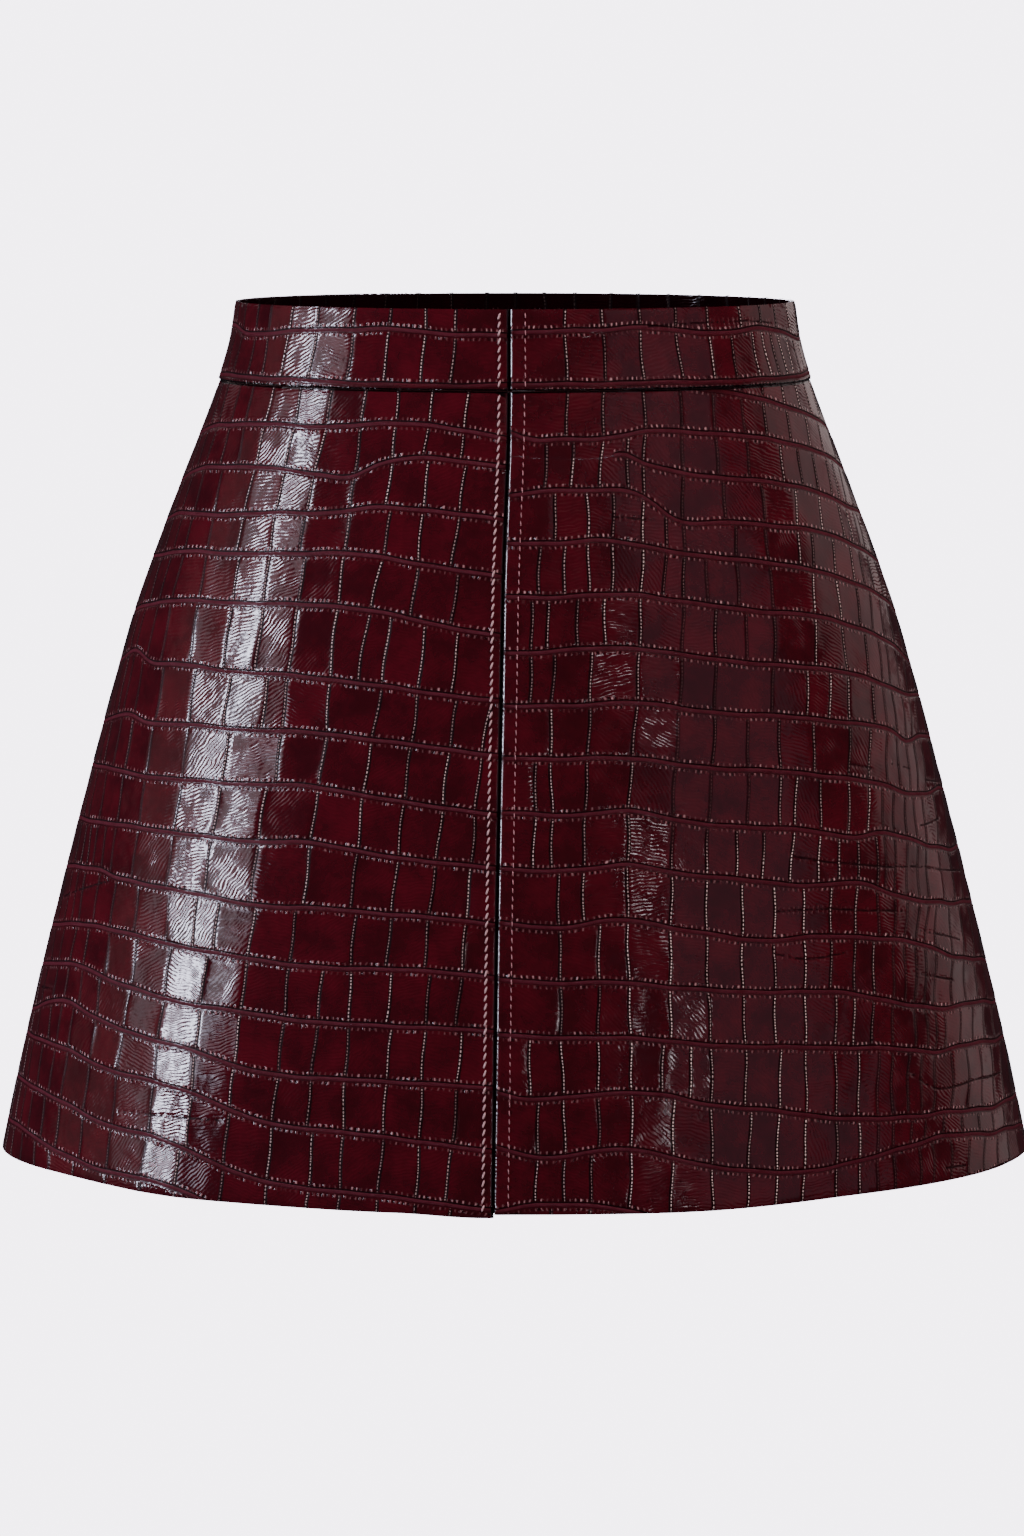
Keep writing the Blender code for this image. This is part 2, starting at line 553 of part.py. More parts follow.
def inside_sheet(pattern, outline):
    """Triangles of the plain inside, over the outline's points and a coarse grid within them."""
    columns = spaced(pattern.mean, INSIDE_GRID, TURN_IN)
    if pattern.piece.curved:
        rows = [y for y in spaced(pattern.fall, INSIDE_GRID, HEM_TURN) if y > INSIDE_GRID / 2]
    else:
        rows = [pattern.fall / 2]
    grid = [(x, -y) for x in columns for y in rows]
    points = [tuple(p) for p in outline] + grid
    n = len(outline)
    edges = [(i, (i + 1) % n) for i in range(n)]
    made = delaunay_2d_cdt(points, edges, [], 1, MERGE)
    flat = np.array([tuple(p) for p in made[0]])
    order = [made[3][k][0] for k in range(len(flat))]
    return flat, [list(face) for face in made[2]], order


def wall(pattern):
    """One closed wall: the face with its scales, the plain inside, and the edge between them."""
    bm = face_sheet(pattern)
    lift_layer = bm.verts.layers.float["lift"]
    bm.verts.index_update()
    flat = np.array([vert.co[:2] for vert in bm.verts])
    lift = np.array([vert[lift_layer] for vert in bm.verts])
    outer = lifted(pattern, flat, face_lift(pattern, flat, lift))
    faces = [[vert.index for vert in face.verts] for face in bm.faces]
    loop = [vert.index for vert in boundary_loop(bm)]
    bm.free()

    inner_flat, inner_faces, order = inside_sheet(pattern, flat[loop])
    inner = lifted(pattern, inner_flat, inside_lift(pattern, inner_flat))
    where = {source: k for k, source in enumerate(order)}
    rim = [len(outer) + where[k] for k in range(len(loop))]
    faces += [[len(outer) + k for k in face] for face in inner_faces]
    for k in range(len(loop)):
        n = (k + 1) % len(loop)
        faces.append([loop[k], loop[n], rim[n], rim[k]])
    return np.concatenate([outer, inner]), faces


# ---------------------------------------------------------------- objects


def embossed_leather(name, colour):
    material = bpy.data.materials.new(name)
    material.use_nodes = True
    shader = material.node_tree.nodes["Principled BSDF"]
    shader.inputs["Base Color"].default_value = (*colour, 1)
    shader.inputs["Roughness"].default_value = 0.28
    shader.inputs["Metallic"].default_value = 0
    return material


def make_piece(piece):
    points, faces = wall(Pattern(piece))
    mesh = bpy.data.meshes.new(piece.name)
    mesh.from_pydata((points * MM).tolist(), [], faces)
    bm = bmesh.new()
    bm.from_mesh(mesh)
    bmesh.ops.recalc_face_normals(bm, faces=bm.faces)
    bm.to_mesh(mesh)
    bm.free()
    mesh.materials.append(embossed_leather("leather_" + piece.name, piece.colour))
    made = bpy.data.objects.new(piece.name, mesh)
    bpy.context.scene.collection.objects.link(made)
    return made


for old in list(bpy.data.objects):
    bpy.data.objects.remove(old)
for piece in PIECES:
    make_piece(piece)
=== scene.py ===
# %% [markdown]
# # A short A-line skirt in embossed leather
#
# The skirt is cut from calf leather that a heated steel plate has pressed with square crocodile
# scales, then glazed to a high shine. Two front panels meet edge to edge down the centre front, one
# panel makes the back, and a waistband in three matching pieces sits on top. This script dresses the
# construction model with that leather. It first loads the model as a fixed frame, because every
# piece below has to lie where the solids lie.

import math
import random
from collections import namedtuple

import bmesh
import bpy
import numpy as np
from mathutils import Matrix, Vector
from mathutils.geometry import delaunay_2d_cdt


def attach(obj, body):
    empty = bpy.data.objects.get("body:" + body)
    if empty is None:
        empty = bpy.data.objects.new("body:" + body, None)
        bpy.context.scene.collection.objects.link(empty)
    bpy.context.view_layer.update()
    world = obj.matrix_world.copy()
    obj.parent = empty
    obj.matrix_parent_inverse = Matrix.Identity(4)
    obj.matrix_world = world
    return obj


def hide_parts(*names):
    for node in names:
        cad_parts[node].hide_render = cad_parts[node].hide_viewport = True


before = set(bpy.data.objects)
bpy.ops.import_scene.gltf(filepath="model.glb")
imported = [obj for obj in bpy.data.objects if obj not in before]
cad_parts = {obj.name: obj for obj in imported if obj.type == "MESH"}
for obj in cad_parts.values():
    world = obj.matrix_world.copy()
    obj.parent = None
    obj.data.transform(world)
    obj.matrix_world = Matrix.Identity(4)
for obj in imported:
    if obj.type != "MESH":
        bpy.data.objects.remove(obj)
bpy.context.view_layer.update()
print("nodes:", sorted(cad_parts))

# %% [markdown]
# Lengths are in millimetres until the moment a mesh is made, since that is how a maker measures.
# Leather is a wall with a real thickness: one layer in the middle of a panel, nearly two where an
# edge is turned in, and two with the seam allowance between them in the waistband.

# %% Sizes of the skirt, in millimetres
MM = 0.001
BAND_TOP, WAIST_SEAM, HEM = 18.5, -18.5, -392.5  # heights above the middle of the waistband
SEAM_GAP = 0.3
SIDE_SEAM = 92.0  # degrees round from the front
SLANT = 1.02  # leather length for each millimetre of height
LEATHER, FOLDED = 1.5, 2.5  # one layer, and where an edge is turned in
TURN_IN, HEM_TURN = 10.0, 25.0  # width of the turned edge at a seam and at the hem
BAND_PROUD, BAND_WALL = 0.9, 2.7  # how far the band stands outside the panels, and how thick it is
print("waistband", BAND_TOP - WAIST_SEAM, "mm; waistband and panels", BAND_TOP - HEM, "mm tall")

# %% [markdown]
# The body of the skirt is one smooth tube. Each level ring is an oval with its own half width and
# depths, a pinch towards the side seams, and the place of the centre front seam. A few soft flutes
# open towards the hem. The same rings shaped the solids, so the leather lands exactly on them.

# %% The rings of the tube and its soft flutes
Section = namedtuple("Section", "height half_width front back lens front_seam")
SECTIONS = [
    Section(18.5, 132.8, 94.0, 96.0, 0.00, -2.3),
    Section(0.0, 135.8, 96.3, 98.6, 0.00, -2.3),
    Section(-18.5, 141.2, 99.6, 103.5, 0.00, -2.3),
    Section(-43.0, 150.6, 105.0, 112.5, 0.02, -2.6),
    Section(-72.0, 162.1, 111.0, 122.0, 0.04, -3.7),
    Section(-101.0, 173.2, 116.5, 130.0, 0.06, -4.8),
    Section(-130.0, 183.4, 121.0, 135.5, 0.08, -5.4),
    Section(-160.0, 192.3, 125.0, 139.0, 0.10, -5.9),
    Section(-203.0, 204.1, 131.0, 142.5, 0.13, -6.8),
    Section(-262.0, 219.7, 138.5, 146.5, 0.16, -7.9),
    Section(-321.0, 234.6, 145.0, 150.5, 0.18, -8.7),
    Section(-392.5, 251.0, 152.0, 155.5, 0.20, -9.7),
]
Fold = namedtuple("Fold", "angle spread depth start")
FOLDS = [
    Fold(19.0, 9.0, 2.6, -170.0),
    Fold(38.0, 8.0, -2.2, -200.0),
    Fold(62.0, 10.0, 2.0, -220.0),
    Fold(-25.0, 9.0, -1.4, -210.0),
    Fold(-40.0, 7.0, 2.0, -190.0),
    Fold(-58.0, 9.0, -1.8, -230.0),
    Fold(128.0, 12.0, 3.0, -180.0),
    Fold(152.0, 10.0, -2.6, -200.0),
    Fold(178.0, 12.0, 2.6, -210.0),
    Fold(204.0, 10.0, -2.4, -190.0),
    Fold(230.0, 12.0, 3.0, -200.0),
]
OPENING = 1.5  # how much later than its start a flute opens, as a power of the way down
print("rings:", len(SECTIONS), "flutes:", len(FOLDS))

# %% [markdown]
# Crocodile leather has rows of scales across the belly and smaller, rounder ones towards the flank.
# No two rows are alike, so every row of the front is placed: the line along its top as distance
# along: distance down, and the places of the lines between its scales. Rows that face away are
# spread by a seeded random generator, which is as uneven as the real hide and never changes.

# %% The rows on the wearer's right
Row = namedtuple("Row", "line columns")
FRONT_RIGHT_ROWS = [
    Row({-70: -34, 120: -32}, [-53, -38, -20, -4, 12, 30, 46, 62, 75, 86, 95, 104, 113]),
    Row({-70: -8, 120: -8}, [-54, -37, -21, -5, 12, 29, 47, 61, 72, 84, 94, 103, 112]),
    Row({-68: 17, -26: 14.5, -4: 16.5, 12: 17.5, 50: 16, 90: 15, 115: 16.5},
        [-55, -38, -23, -6, 12, 29, 46, 59, 71, 83, 92, 101, 110]),
    Row({-70: 30.5, -26: 31.5, -16: 35, -6: 40, 12: 39.5, 45: 36.5, 95: 36, 112: 38},
        [-58, -41, -25, -8, 14, 30, 48, 68, 83, 95, 106, 115]),
    Row({-75: 54.5, -35: 53.5, -20: 54, 0: 57, 28: 58, 75: 58, 103: 56, 115: 57},
        [-59, -43, -28, -9, 12, 28, 47, 66, 81, 92, 103, 111, 120]),
    Row({-78: 80.5, -40: 78, -10: 75.5, 18: 77, 45: 77, 75: 75.5, 120: 75.5},
        [-63, -45, -27, -10, 9, 27, 44, 64, 82, 93, 104, 114, 123]),
    Row({-80: 107.5, -62: 106, -40: 103, -15: 100.5, 30: 100.5, 90: 99, 124: 101},
        [-67, -52, -36, -25, -11, 8, 25, 43, 64, 83, 95, 107, 115, 124, 134]),
    Row({-83: 137.5, -55: 137, -25: 135, 5: 133.5, 45: 132, 74: 129, 88: 128.5, 107: 122, 127: 125},
        [-85, -70, -53, -36, -13, 8, 18, 38, 59, 80, 98, 108, 115, 122, 131]),
    Row({-85: 162.5, -50: 161.5, -13: 159.5, 30: 159.5, 60: 158, 90: 156, 97: 154, 131: 154.5},
        [-84, -70, -53, -34, -14, 8, 35, 58, 82, 98, 110, 120, 127, 137]),
    Row({-93: 189.5, -55: 188.5, -40: 187, -12: 184.5, 35: 185, 60: 184, 90: 182, 114: 178.5,
         137: 176.5},
        [-86, -71, -53, -35, -13, 12, 36, 59, 83, 100, 115, 127, 136, 145]),
    Row({-95: 214, -60: 214.5, -35: 212.5, -14: 210.5, 20: 211.5, 55: 209.5, 81: 207.5, 117: 204.5},
        [-88, -71, -54, -35, -13, 13, 38, 60, 83, 100, 108, 116, 122, 128, 135, 143, 151]),
    Row({-95: 240, -30: 240.5, 20: 240.5, 50: 236.5, 83: 233, 96: 231, 107: 228, 129: 226.5,
         143: 226},
        [-88, -72, -55, -38, -10, 10, 29, 41, 57, 77, 94, 108, 120, 128, 136, 146, 156]),
    Row({-100: 264.5, -60: 265.5, -25: 268, 5: 266.5, 35: 264, 60: 261, 88: 257, 103: 255,
         148: 254.5},
        [-90, -75, -58, -40, -26, -10, 11, 32, 53, 74, 94, 111, 122, 133, 144, 153, 162]),
    Row({-105: 289.5, -60: 292, -30: 293.5, 10: 291.5, 50: 288, 88: 281, 113: 274.5, 131: 273.5,
         151: 273.5},
        [-93, -77, -61, -42, -26, -10, 11, 32, 54, 76, 97, 112, 124, 135, 147, 157, 167]),
    Row({-108: 315.5, -60: 318, -30: 319.5, 3: 318.5, 12: 317, 33: 311, 65: 306.5, 99: 298.5,
         124: 291.5, 157: 295.5},
        [-95, -79, -62, -43, -27, -10, 13, 33, 55, 78, 97, 115, 125, 134, 147, 156, 165, 174]),
    Row({-110: 344, -30: 343.5, -12: 343, 8: 339, 28: 332, 50: 328, 88: 322.5, 117: 315,
         139: 311, 160: 308.5},
        [-95, -81, -64, -45, -30, -10, 11, 32, 54, 79, 99, 116, 127, 138, 150, 158, 168, 178]),
    Row({-100: 371, -40: 371.5, -12: 370.5, 4: 367.5, 22: 361, 45: 354.5, 88: 348.5, 117: 340,
         139: 334.5, 166: 330},
        [-98, -83, -64, -46, -31, -10, 13, 36, 56, 79, 100, 118, 130, 142, 151, 159, 168, 178]),
    Row({-100: 396, 0: 392, 12: 385, 30: 378, 60: 373, 88: 371, 117: 364, 146: 355, 175: 350},
        [-100, -84, -65, -47, -31, -10, 13, 36, 57, 81, 103, 122, 134, 147, 158, 168, 178]),
    Row({-100: 420, 0: 417, 88: 397, 170: 377}, []),
]
print("rows on the right:", len(FRONT_RIGHT_ROWS) - 1)

# %% The rows on the wearer's left
FRONT_LEFT_ROWS = [
    Row({0: -58, 220: -54}, [26, 43, 62, 80, 97, 112, 127, 140, 151, 163, 175, 186, 197]),
    Row({0: -33, 220: -31}, [26, 43, 62, 80, 97, 114, 128, 142, 154, 165, 176, 188]),
    Row({0: -8, 200: -8}, [26, 43, 62, 80, 97, 113, 126, 142, 157, 170, 184]),
    Row({2: 20, 8: 22, 25: 21.5, 40: 20.5, 52: 18.5, 62: 15.5, 72: 14.5, 100: 12.5, 130: 10.5,
         200: 10},
        [17, 29, 42, 54, 62, 80, 97, 114, 134, 146, 158, 168, 175, 182, 190]),
    Row({2: 30.5, 41: 29.5, 54: 27.5, 62: 30.5, 80: 33, 95: 33.5, 130: 31, 150: 30.5, 185: 32,
         205: 30},
        [16, 28, 41, 54, 61, 79, 100, 120, 140, 156, 172, 179, 186, 192, 200]),
    Row({2: 48, 10: 46.5, 40: 44.5, 58: 45, 66: 49, 74: 54, 105: 53.5, 120: 52.5, 150: 50.5,
         200: 53},
        [21, 35, 47, 61, 72, 80, 105, 121, 139, 148, 162, 175, 183, 191, 201]),
    Row({2: 70, 20: 69.5, 45: 67.5, 62: 69, 85: 71, 130: 70, 180: 71.5, 200: 73.5},
        [15, 26, 37, 47, 60, 70, 79, 90, 105, 122, 146, 162, 176, 186, 195, 204]),
    Row({2: 94.5, 20: 94.5, 50: 92, 60: 91.5, 75: 93, 110: 94, 150: 92, 180: 93.5, 200: 96},
        [12, 19, 32, 44, 60, 79, 94, 109, 124, 146, 164, 179, 189, 196, 206, 214]),
    Row({2: 120.5, 15: 120, 45: 117, 58: 116.5, 85: 118.5, 130: 118, 165: 116, 206: 118.5,
         220: 117, 246: 112},
        [12, 22, 38, 59, 79, 95, 122, 141, 154, 166, 182, 191, 198, 206, 213, 221]),
    Row({2: 145, 30: 144.5, 57: 141.5, 85: 143.5, 130: 142, 160: 140.5, 196: 140, 206: 142,
         220: 138, 254: 133},
        [21, 38, 58, 77, 94, 110, 126, 145, 166, 179, 190, 199, 207, 214, 222]),
    Row({2: 169, 20: 169.5, 50: 167.5, 85: 169.5, 145: 167.5, 190: 167, 210: 168, 222: 166,
         240: 160, 262: 155},
        [15, 22, 38, 57, 77, 94, 112, 128, 136, 149, 165, 177, 186, 194, 203, 210, 218]),
    Row({2: 194.5, 30: 195, 56: 192, 80: 195, 110: 196, 140: 194, 170: 194.5, 186: 190, 223: 192,
         241: 189.5, 271: 182},
        [15, 23, 36, 56, 76, 92, 107, 120, 134, 149, 160, 171, 182, 188, 194, 202, 210, 217]),
    Row({2: 220.5, 15: 221, 45: 218.5, 56: 217, 80: 219.5, 110: 220.5, 150: 219.5, 170: 216,
         206: 220, 244: 215.5, 283: 209},
        [26, 38, 57, 77, 93, 110, 126, 141, 156, 171, 184, 194, 201, 209, 215, 222]),
    Row({2: 245.5, 28: 247, 50: 243, 58: 242.5, 82: 245.5, 122: 248, 145: 244.5, 201: 240.5,
         244: 243, 291: 236.5},
        [28, 45, 58, 77, 94, 111, 127, 143, 157, 169, 181, 193, 200, 207, 213, 220]),
    Row({2: 271.5, 28: 273, 55: 271.5, 85: 273, 145: 270.5, 160: 269, 205: 271, 234: 268,
         249: 264.5, 299: 255.5},
        [28, 45, 59, 78, 96, 113, 129, 144, 160, 171, 181, 192, 206, 214, 220, 226]),
    Row({2: 297, 30: 298.5, 60: 297, 90: 298.5, 120: 298, 155: 296, 185: 293.5, 223: 290.5,
         249: 284.5, 277: 278, 306: 271.5},
        [15, 30, 46, 61, 75, 88, 98, 115, 132, 146, 162, 174, 185, 193, 203, 211, 219]),
    Row({2: 324.5, 8: 326.5, 20: 327, 50: 323.5, 62: 322.5, 75: 323, 95: 326, 125: 327.5,
         180: 328, 211: 323, 249: 316.5, 300: 303},
        [19, 31, 47, 62, 81, 99, 118, 132, 147, 164, 176, 186, 195, 206, 215]),
    Row({2: 350, 20: 354.5, 45: 350.5, 58: 349, 80: 352, 92: 354, 118: 356.5, 155: 354, 178: 348,
         200: 340, 217: 334.5, 263: 325.5},
        [19, 32, 44, 62, 81, 101, 118, 133, 147, 165, 178, 187, 196, 211, 219]),
    Row({0: 380, 20: 376.5, 45: 376, 80: 381, 120: 385, 200: 368, 260: 345, 300: 335},
        [26, 44, 62, 81, 101, 118, 133, 147, 166, 178, 188, 198, 212, 221]),
    Row({0: 402, 120: 408, 200: 392, 300: 360}, []),
]
print("rows on the left:", len(FRONT_LEFT_ROWS) - 1)

# %% The rows of the waistband
BAND_FRONT_RIGHT_ROWS = [
    Row({0: -12, 190: -12}, [25, 40, 57, 75, 95, 111, 127, 137, 150, 162]),
    Row({0: 12, 35: 11, 57: 9.5, 76: 10, 100: 11, 125: 13, 145: 14, 165: 11, 185: 12},
        [26, 40, 58, 76, 96, 113, 125, 136, 150, 160, 172]),
    Row({0: 34.5, 40: 35, 100: 34, 190: 34.5}, [18, 34, 50, 67, 84, 100, 117, 133, 150, 166]),
    Row({0: 60, 190: 60}, []),
]
BAND_FRONT_LEFT_ROWS = [
    Row({0: -12, 190: -12}, [26, 44, 62, 80, 98, 117, 131, 143, 158, 172]),
    Row({0: 10.5, 44: 9.5, 62: 8.5, 80: 10.5, 105: 12, 130: 11, 145: 12.5, 175: 18, 195: 16},
        [25, 43, 61, 80, 97, 110, 124, 131, 138, 145, 152, 160, 168, 176]),
    Row({0: 34.5, 60: 34, 120: 34.5, 190: 34}, [17, 33, 50, 66, 83, 100, 116, 133, 150, 166]),
    Row({0: 60, 190: 60}, []),
]
print("rows of the waistband:", len(BAND_FRONT_RIGHT_ROWS) - 1, len(BAND_FRONT_LEFT_ROWS) - 1)

# %% Rows that face away
SCALE_WIDTH, SCALE_SPREAD = 16.5, 0.14  # the widths differ by up to this share
SCALE_JOG = 1.1  # and their sides step by up to this from row to row
BENDS_EVERY = 60  # distance between the places where a line bends
FIRST_LINE, ROW_PITCH, BACK_LINES = -56.8, 25.4, 20


def even_rows(seed, lines, wave, reach):
    """Rows of a piece that faces away: soft waves, and scales as uneven as the others."""
    rng = random.Random(seed)

    def width():
        return SCALE_WIDTH * rng.uniform(1 - SCALE_SPREAD, 1 + SCALE_SPREAD)

    sides = [0.0]
    while sides[-1] < reach:
        sides.append(sides[-1] + width())
    while sides[0] > -reach:
        sides.insert(0, sides[0] - width())
    rows = []
    for line in lines:
        places = range(-reach, reach + 1, BENDS_EVERY)
        bends = {along: line + rng.uniform(-wave, wave) for along in places}
        rows.append(Row(bends, [side + rng.uniform(-SCALE_JOG, SCALE_JOG) for side in sides]))
    return rows


BACK_ROWS = even_rows(37, [FIRST_LINE + ROW_PITCH * k for k in range(BACK_LINES)], 2.2, 360)
BAND_BACK_ROWS = even_rows(67, [-12.0, 10.5, 34.5, 60.0], 0.7, 240)
print("rows of the back:", len(BACK_ROWS) - 1)

# %% The pieces that are cut and sewn
Piece = namedtuple("Piece", "name start end top bottom curved spine rows seed")
PANEL = dict(top=WAIST_SEAM - SEAM_GAP / 2, bottom=HEM, curved=True)
BAND = dict(top=BAND_TOP, bottom=WAIST_SEAM + SEAM_GAP / 2, curved=False)
RIGHT, LEFT, BACK = (None, -SIDE_SEAM), (None, SIDE_SEAM), (SIDE_SEAM, 360.0 - SIDE_SEAM)
PIECES = [
    Piece("front_right_panel", *RIGHT, **PANEL, spine=0.38, rows=FRONT_RIGHT_ROWS, seed=1),
    Piece("front_left_panel", *LEFT, **PANEL, spine=0.0, rows=FRONT_LEFT_ROWS, seed=2),
    Piece("back_panel", *BACK, **PANEL, spine=0.5, rows=BACK_ROWS, seed=3),
    Piece("waistband_front_right", *RIGHT, **BAND, spine=0.0, rows=BAND_FRONT_RIGHT_ROWS, seed=4),
    Piece("waistband_front_left", *LEFT, **BAND, spine=0.0, rows=BAND_FRONT_LEFT_ROWS, seed=5),
    Piece("waistband_back", *BACK, **BAND, spine=0.5, rows=BAND_BACK_ROWS, seed=6),
]
print("pieces:", [piece.name for piece in PIECES])

# %% [markdown]
# A piece of leather is laid out twice: flat on the hide, where the press has struck it, and on the
# body of the skirt. These functions carry a point from one to the other. A panel of an A-line skirt
# is cut as a sector of a ring, so its rows run level on the hide and bend up towards the sides once
# it is sewn, which is what makes the cut visible.

# %% Smooth curves, and the rings at any height


def curve(xs, ys, x):
    """A smooth curve through some points, straight on beyond the first and the last of them."""
    xs = np.asarray(xs, float)
    ys = np.asarray(ys, float)
    slopes = np.gradient(ys, xs)
    inside = np.clip(x, xs[0], xs[-1])
    i = np.clip(np.searchsorted(xs, inside) - 1, 0, len(xs) - 2)
    step = xs[i + 1] - xs[i]
    t = (inside - xs[i]) / step
    start = ys[i] * (1 + 2 * t) * (1 - t) ** 2 + slopes[i] * step * t * (1 - t) ** 2
    end = ys[i + 1] * t * t * (3 - 2 * t) - slopes[i + 1] * step * t * t * (1 - t)
    return start + end + np.where(x < xs[0], slopes[0], slopes[-1]) * (x - inside)


def at_height(height, column):
    """One column of SECTIONS at any height."""
    rising = SECTIONS[::-1]
    heights = [section.height for section in rising]
    return curve(heights, [getattr(section, column) for section in rising], height)


print("half width halfway down:", np.round(at_height((BAND_TOP + HEM) / 2, "half_width"), 1))

# %% Points and directions on the tube


def flute(angle, height):
    """How far the soft folds push the face out, in millimetres."""
    push = np.zeros(np.broadcast(angle, height).shape)
    for fold in FOLDS:
        away = (np.degrees(angle) - fold.angle + 180) % 360 - 180
        open_by = np.clip((fold.start - height) / (fold.start - HEM), 0, 1)
        push += fold.depth * np.exp(-((away / fold.spread) ** 2)) * open_by**OPENING
    return push


def tube_point(angle, height):
    """The face of the leather at an angle round from the front (radians) and a height."""
    angle, height = np.broadcast_arrays(np.asarray(angle, float), np.asarray(height, float))
    width = at_height(height, "half_width")
    depth = np.where(np.cos(angle) > 0, at_height(height, "front"), at_height(height, "back"))
    pinch = 1 - at_height(height, "lens") * np.sin(angle) ** 4
    x = width * np.sin(angle)
    y = -depth * np.cos(angle) * pinch
    out = np.stack([x / width**2, y / depth**2], -1)
    out /= np.linalg.norm(out, axis=-1, keepdims=True)
    push = flute(angle, height)
    return np.stack([x + out[..., 0] * push, y + out[..., 1] * push, height], -1)


def tube_normal(angle, height):
    """The outward direction there."""
    reach = 0.001
    around = tube_point(angle + reach, height) - tube_point(angle - reach, height)
    up = tube_point(angle, height + reach) - tube_point(angle, height - reach)
    normal = np.cross(around, up)
    return normal / np.linalg.norm(normal, axis=-1, keepdims=True)


def tube_bend(angle, height):
    """How sharply the tube bends round its own axis there, per millimetre."""
    reach = 0.02
    turned = tube_normal(angle + reach, height) - tube_normal(angle - reach, height)
    moved = tube_point(angle + reach, height) - tube_point(angle - reach, height)
    return np.linalg.norm(turned, axis=-1) / np.linalg.norm(moved, axis=-1)


print("front middle of the waist:", np.round(tube_point(0.0, BAND_TOP), 1))

# %% The stretch of tube that a piece covers


class Stretch:
    """The part of the tube that one piece covers, measured along the leather."""

    RINGS = 60
    SAMPLES = 400
    BELOW_HEM = 8.0

    def __init__(self, piece):
        self.heights = np.linspace(piece.bottom - self.BELOW_HEM, piece.top, self.RINGS)
        start = self.edge_angle(piece.start)
        end = self.edge_angle(piece.end)
        share = np.linspace(0, 1, self.SAMPLES)
        self.lengths = []
        self.angles = []
        for k, height in enumerate(self.heights):
            angles = start[k] + (end[k] - start[k]) * share
            steps = np.diff(tube_point(angles, height), axis=0)
            run = np.concatenate([[0], np.cumsum(np.linalg.norm(steps, axis=1))])
            self.lengths.append(run[-1] - SEAM_GAP)
            self.angles.append(np.interp(SEAM_GAP / 2 + share * (run[-1] - SEAM_GAP), run, angles))
        self.lengths = np.array(self.lengths)
        self.angles = np.array(self.angles)

    def edge_angle(self, edge):
        """An edge's angle at each ring. None stands for the centre front seam."""
        if edge is not None:
            return np.full(self.RINGS, math.radians(edge))
        seam = at_height(self.heights, "front_seam")
        return np.arcsin(seam / at_height(self.heights, "half_width"))

    def length(self, height):
        return np.interp(height, self.heights, self.lengths)

    def angle(self, across, height):
        """The angle round, for a share of the way across the piece and a height."""
        row = np.interp(height, self.heights, np.arange(self.RINGS))
        column = np.clip(across, 0, 1) * (self.SAMPLES - 1)
        i = np.minimum(row.astype(int), self.RINGS - 2)
        j = np.minimum(column.astype(int), self.SAMPLES - 2)
        a, b = row - i, column - j
        below = self.angles[i, j] * (1 - b) + self.angles[i, j + 1] * b
        above = self.angles[i + 1, j] * (1 - b) + self.angles[i + 1, j + 1] * b
        return below * (1 - a) + above * a


print("a piece is measured on", Stretch.RINGS, "rings, at", Stretch.SAMPLES, "points on each")

# %% Laying a piece flat on its hide
FLANK_WIDTH = 12.0  # width of the scales beyond the last one that a row places
MARGIN = 40.0  # how far a row's first scale reaches back over the edge of its piece


class Pattern:
    """A piece laid flat, on the hide that its scales are pressed into.

    Along and down are distances on the hide, from the spine and from the top edge. Across (0 to 1)
    and drop (millimetres of height below the top edge) are places on the piece.
    """

    def __init__(self, piece):
        self.piece = piece
        self.stretch = Stretch(piece)
        self.fall = piece.top - piece.bottom
        self.top = self.stretch.length(piece.top)
        self.bottom = self.stretch.length(piece.bottom)
        self.mean = (self.top + self.bottom) / 2
        self.sector = (self.bottom - self.top) / (self.fall * SLANT)
        self.radius = self.top / self.sector

    def place(self, along, down):
        """Where a point of the hide lies on the piece, as across and drop."""
        if not self.piece.curved:
            return self.piece.spine + along / self.mean, down
        turn = self.piece.spine * self.sector + np.arctan2(along, down + self.radius)
        return turn / self.sector, (np.hypot(along, down + self.radius) - self.radius) / SLANT

    def hide(self, across, drop):
        """Where a point of the piece lies on the hide, as along and down."""
        if not self.piece.curved:
            return (across - self.piece.spine) * self.mean, drop
        turn = (across - self.piece.spine) * self.sector
        out = drop * SLANT + self.radius
        return out * np.sin(turn), out * np.cos(turn) - self.radius

    def columns(self, row):
        """A row's lines between scales, with more beyond its last so that it covers the piece."""
        places = [row.columns[0] - MARGIN, *row.columns]
        while places[-1] < self.bottom * (1 - self.piece.spine):
            places.append(places[-1] + FLANK_WIDTH)
        return places


patterns = {piece.name: Pattern(piece) for piece in PIECES}
for name, pattern in patterns.items():
    print(name, "top", round(pattern.top, 1), "bottom", round(pattern.bottom, 1), "mm")

# %% [markdown]
# What makes pressed crocodile read as crocodile is the edge of each scale. Between two rows runs a
# narrow raised cord with a groove on both sides of it. Between two scales of a row there is only a
# fine groove, which fades out before the cord, so the corners of the scales are round. The scales
# themselves are almost flat, and lie at slightly different tilts, so a window reflects in blocks. A
# displacement map could do this, but its grooves would be as blurred as its pixels. Here a function
# says how high the leather stands at any point, and the mesh gets its points where the function
# bends.

# %% The lines between the scales
JOINED = 3.0  # grooves that meet a row's line closer than this meet it in one point
TILT = 0.012  # radians by which the scales lean
WAVER_ALONG, WAVER_DOWN = 0.34, 0.2  # how far the lines waver, in millimetres
WILD_FROM, WILD_UNTIL = 165, 235  # they waver more between these distances and beyond
At = namedtuple("At", "along down row cell top bottom left right")


def smooth(x, low, high):
    """0 up to low and 1 from high on, with a soft rise between them."""
    t = np.clip((x - low) / (high - low), 0, 1)
    return t * t * (3 - 2 * t)


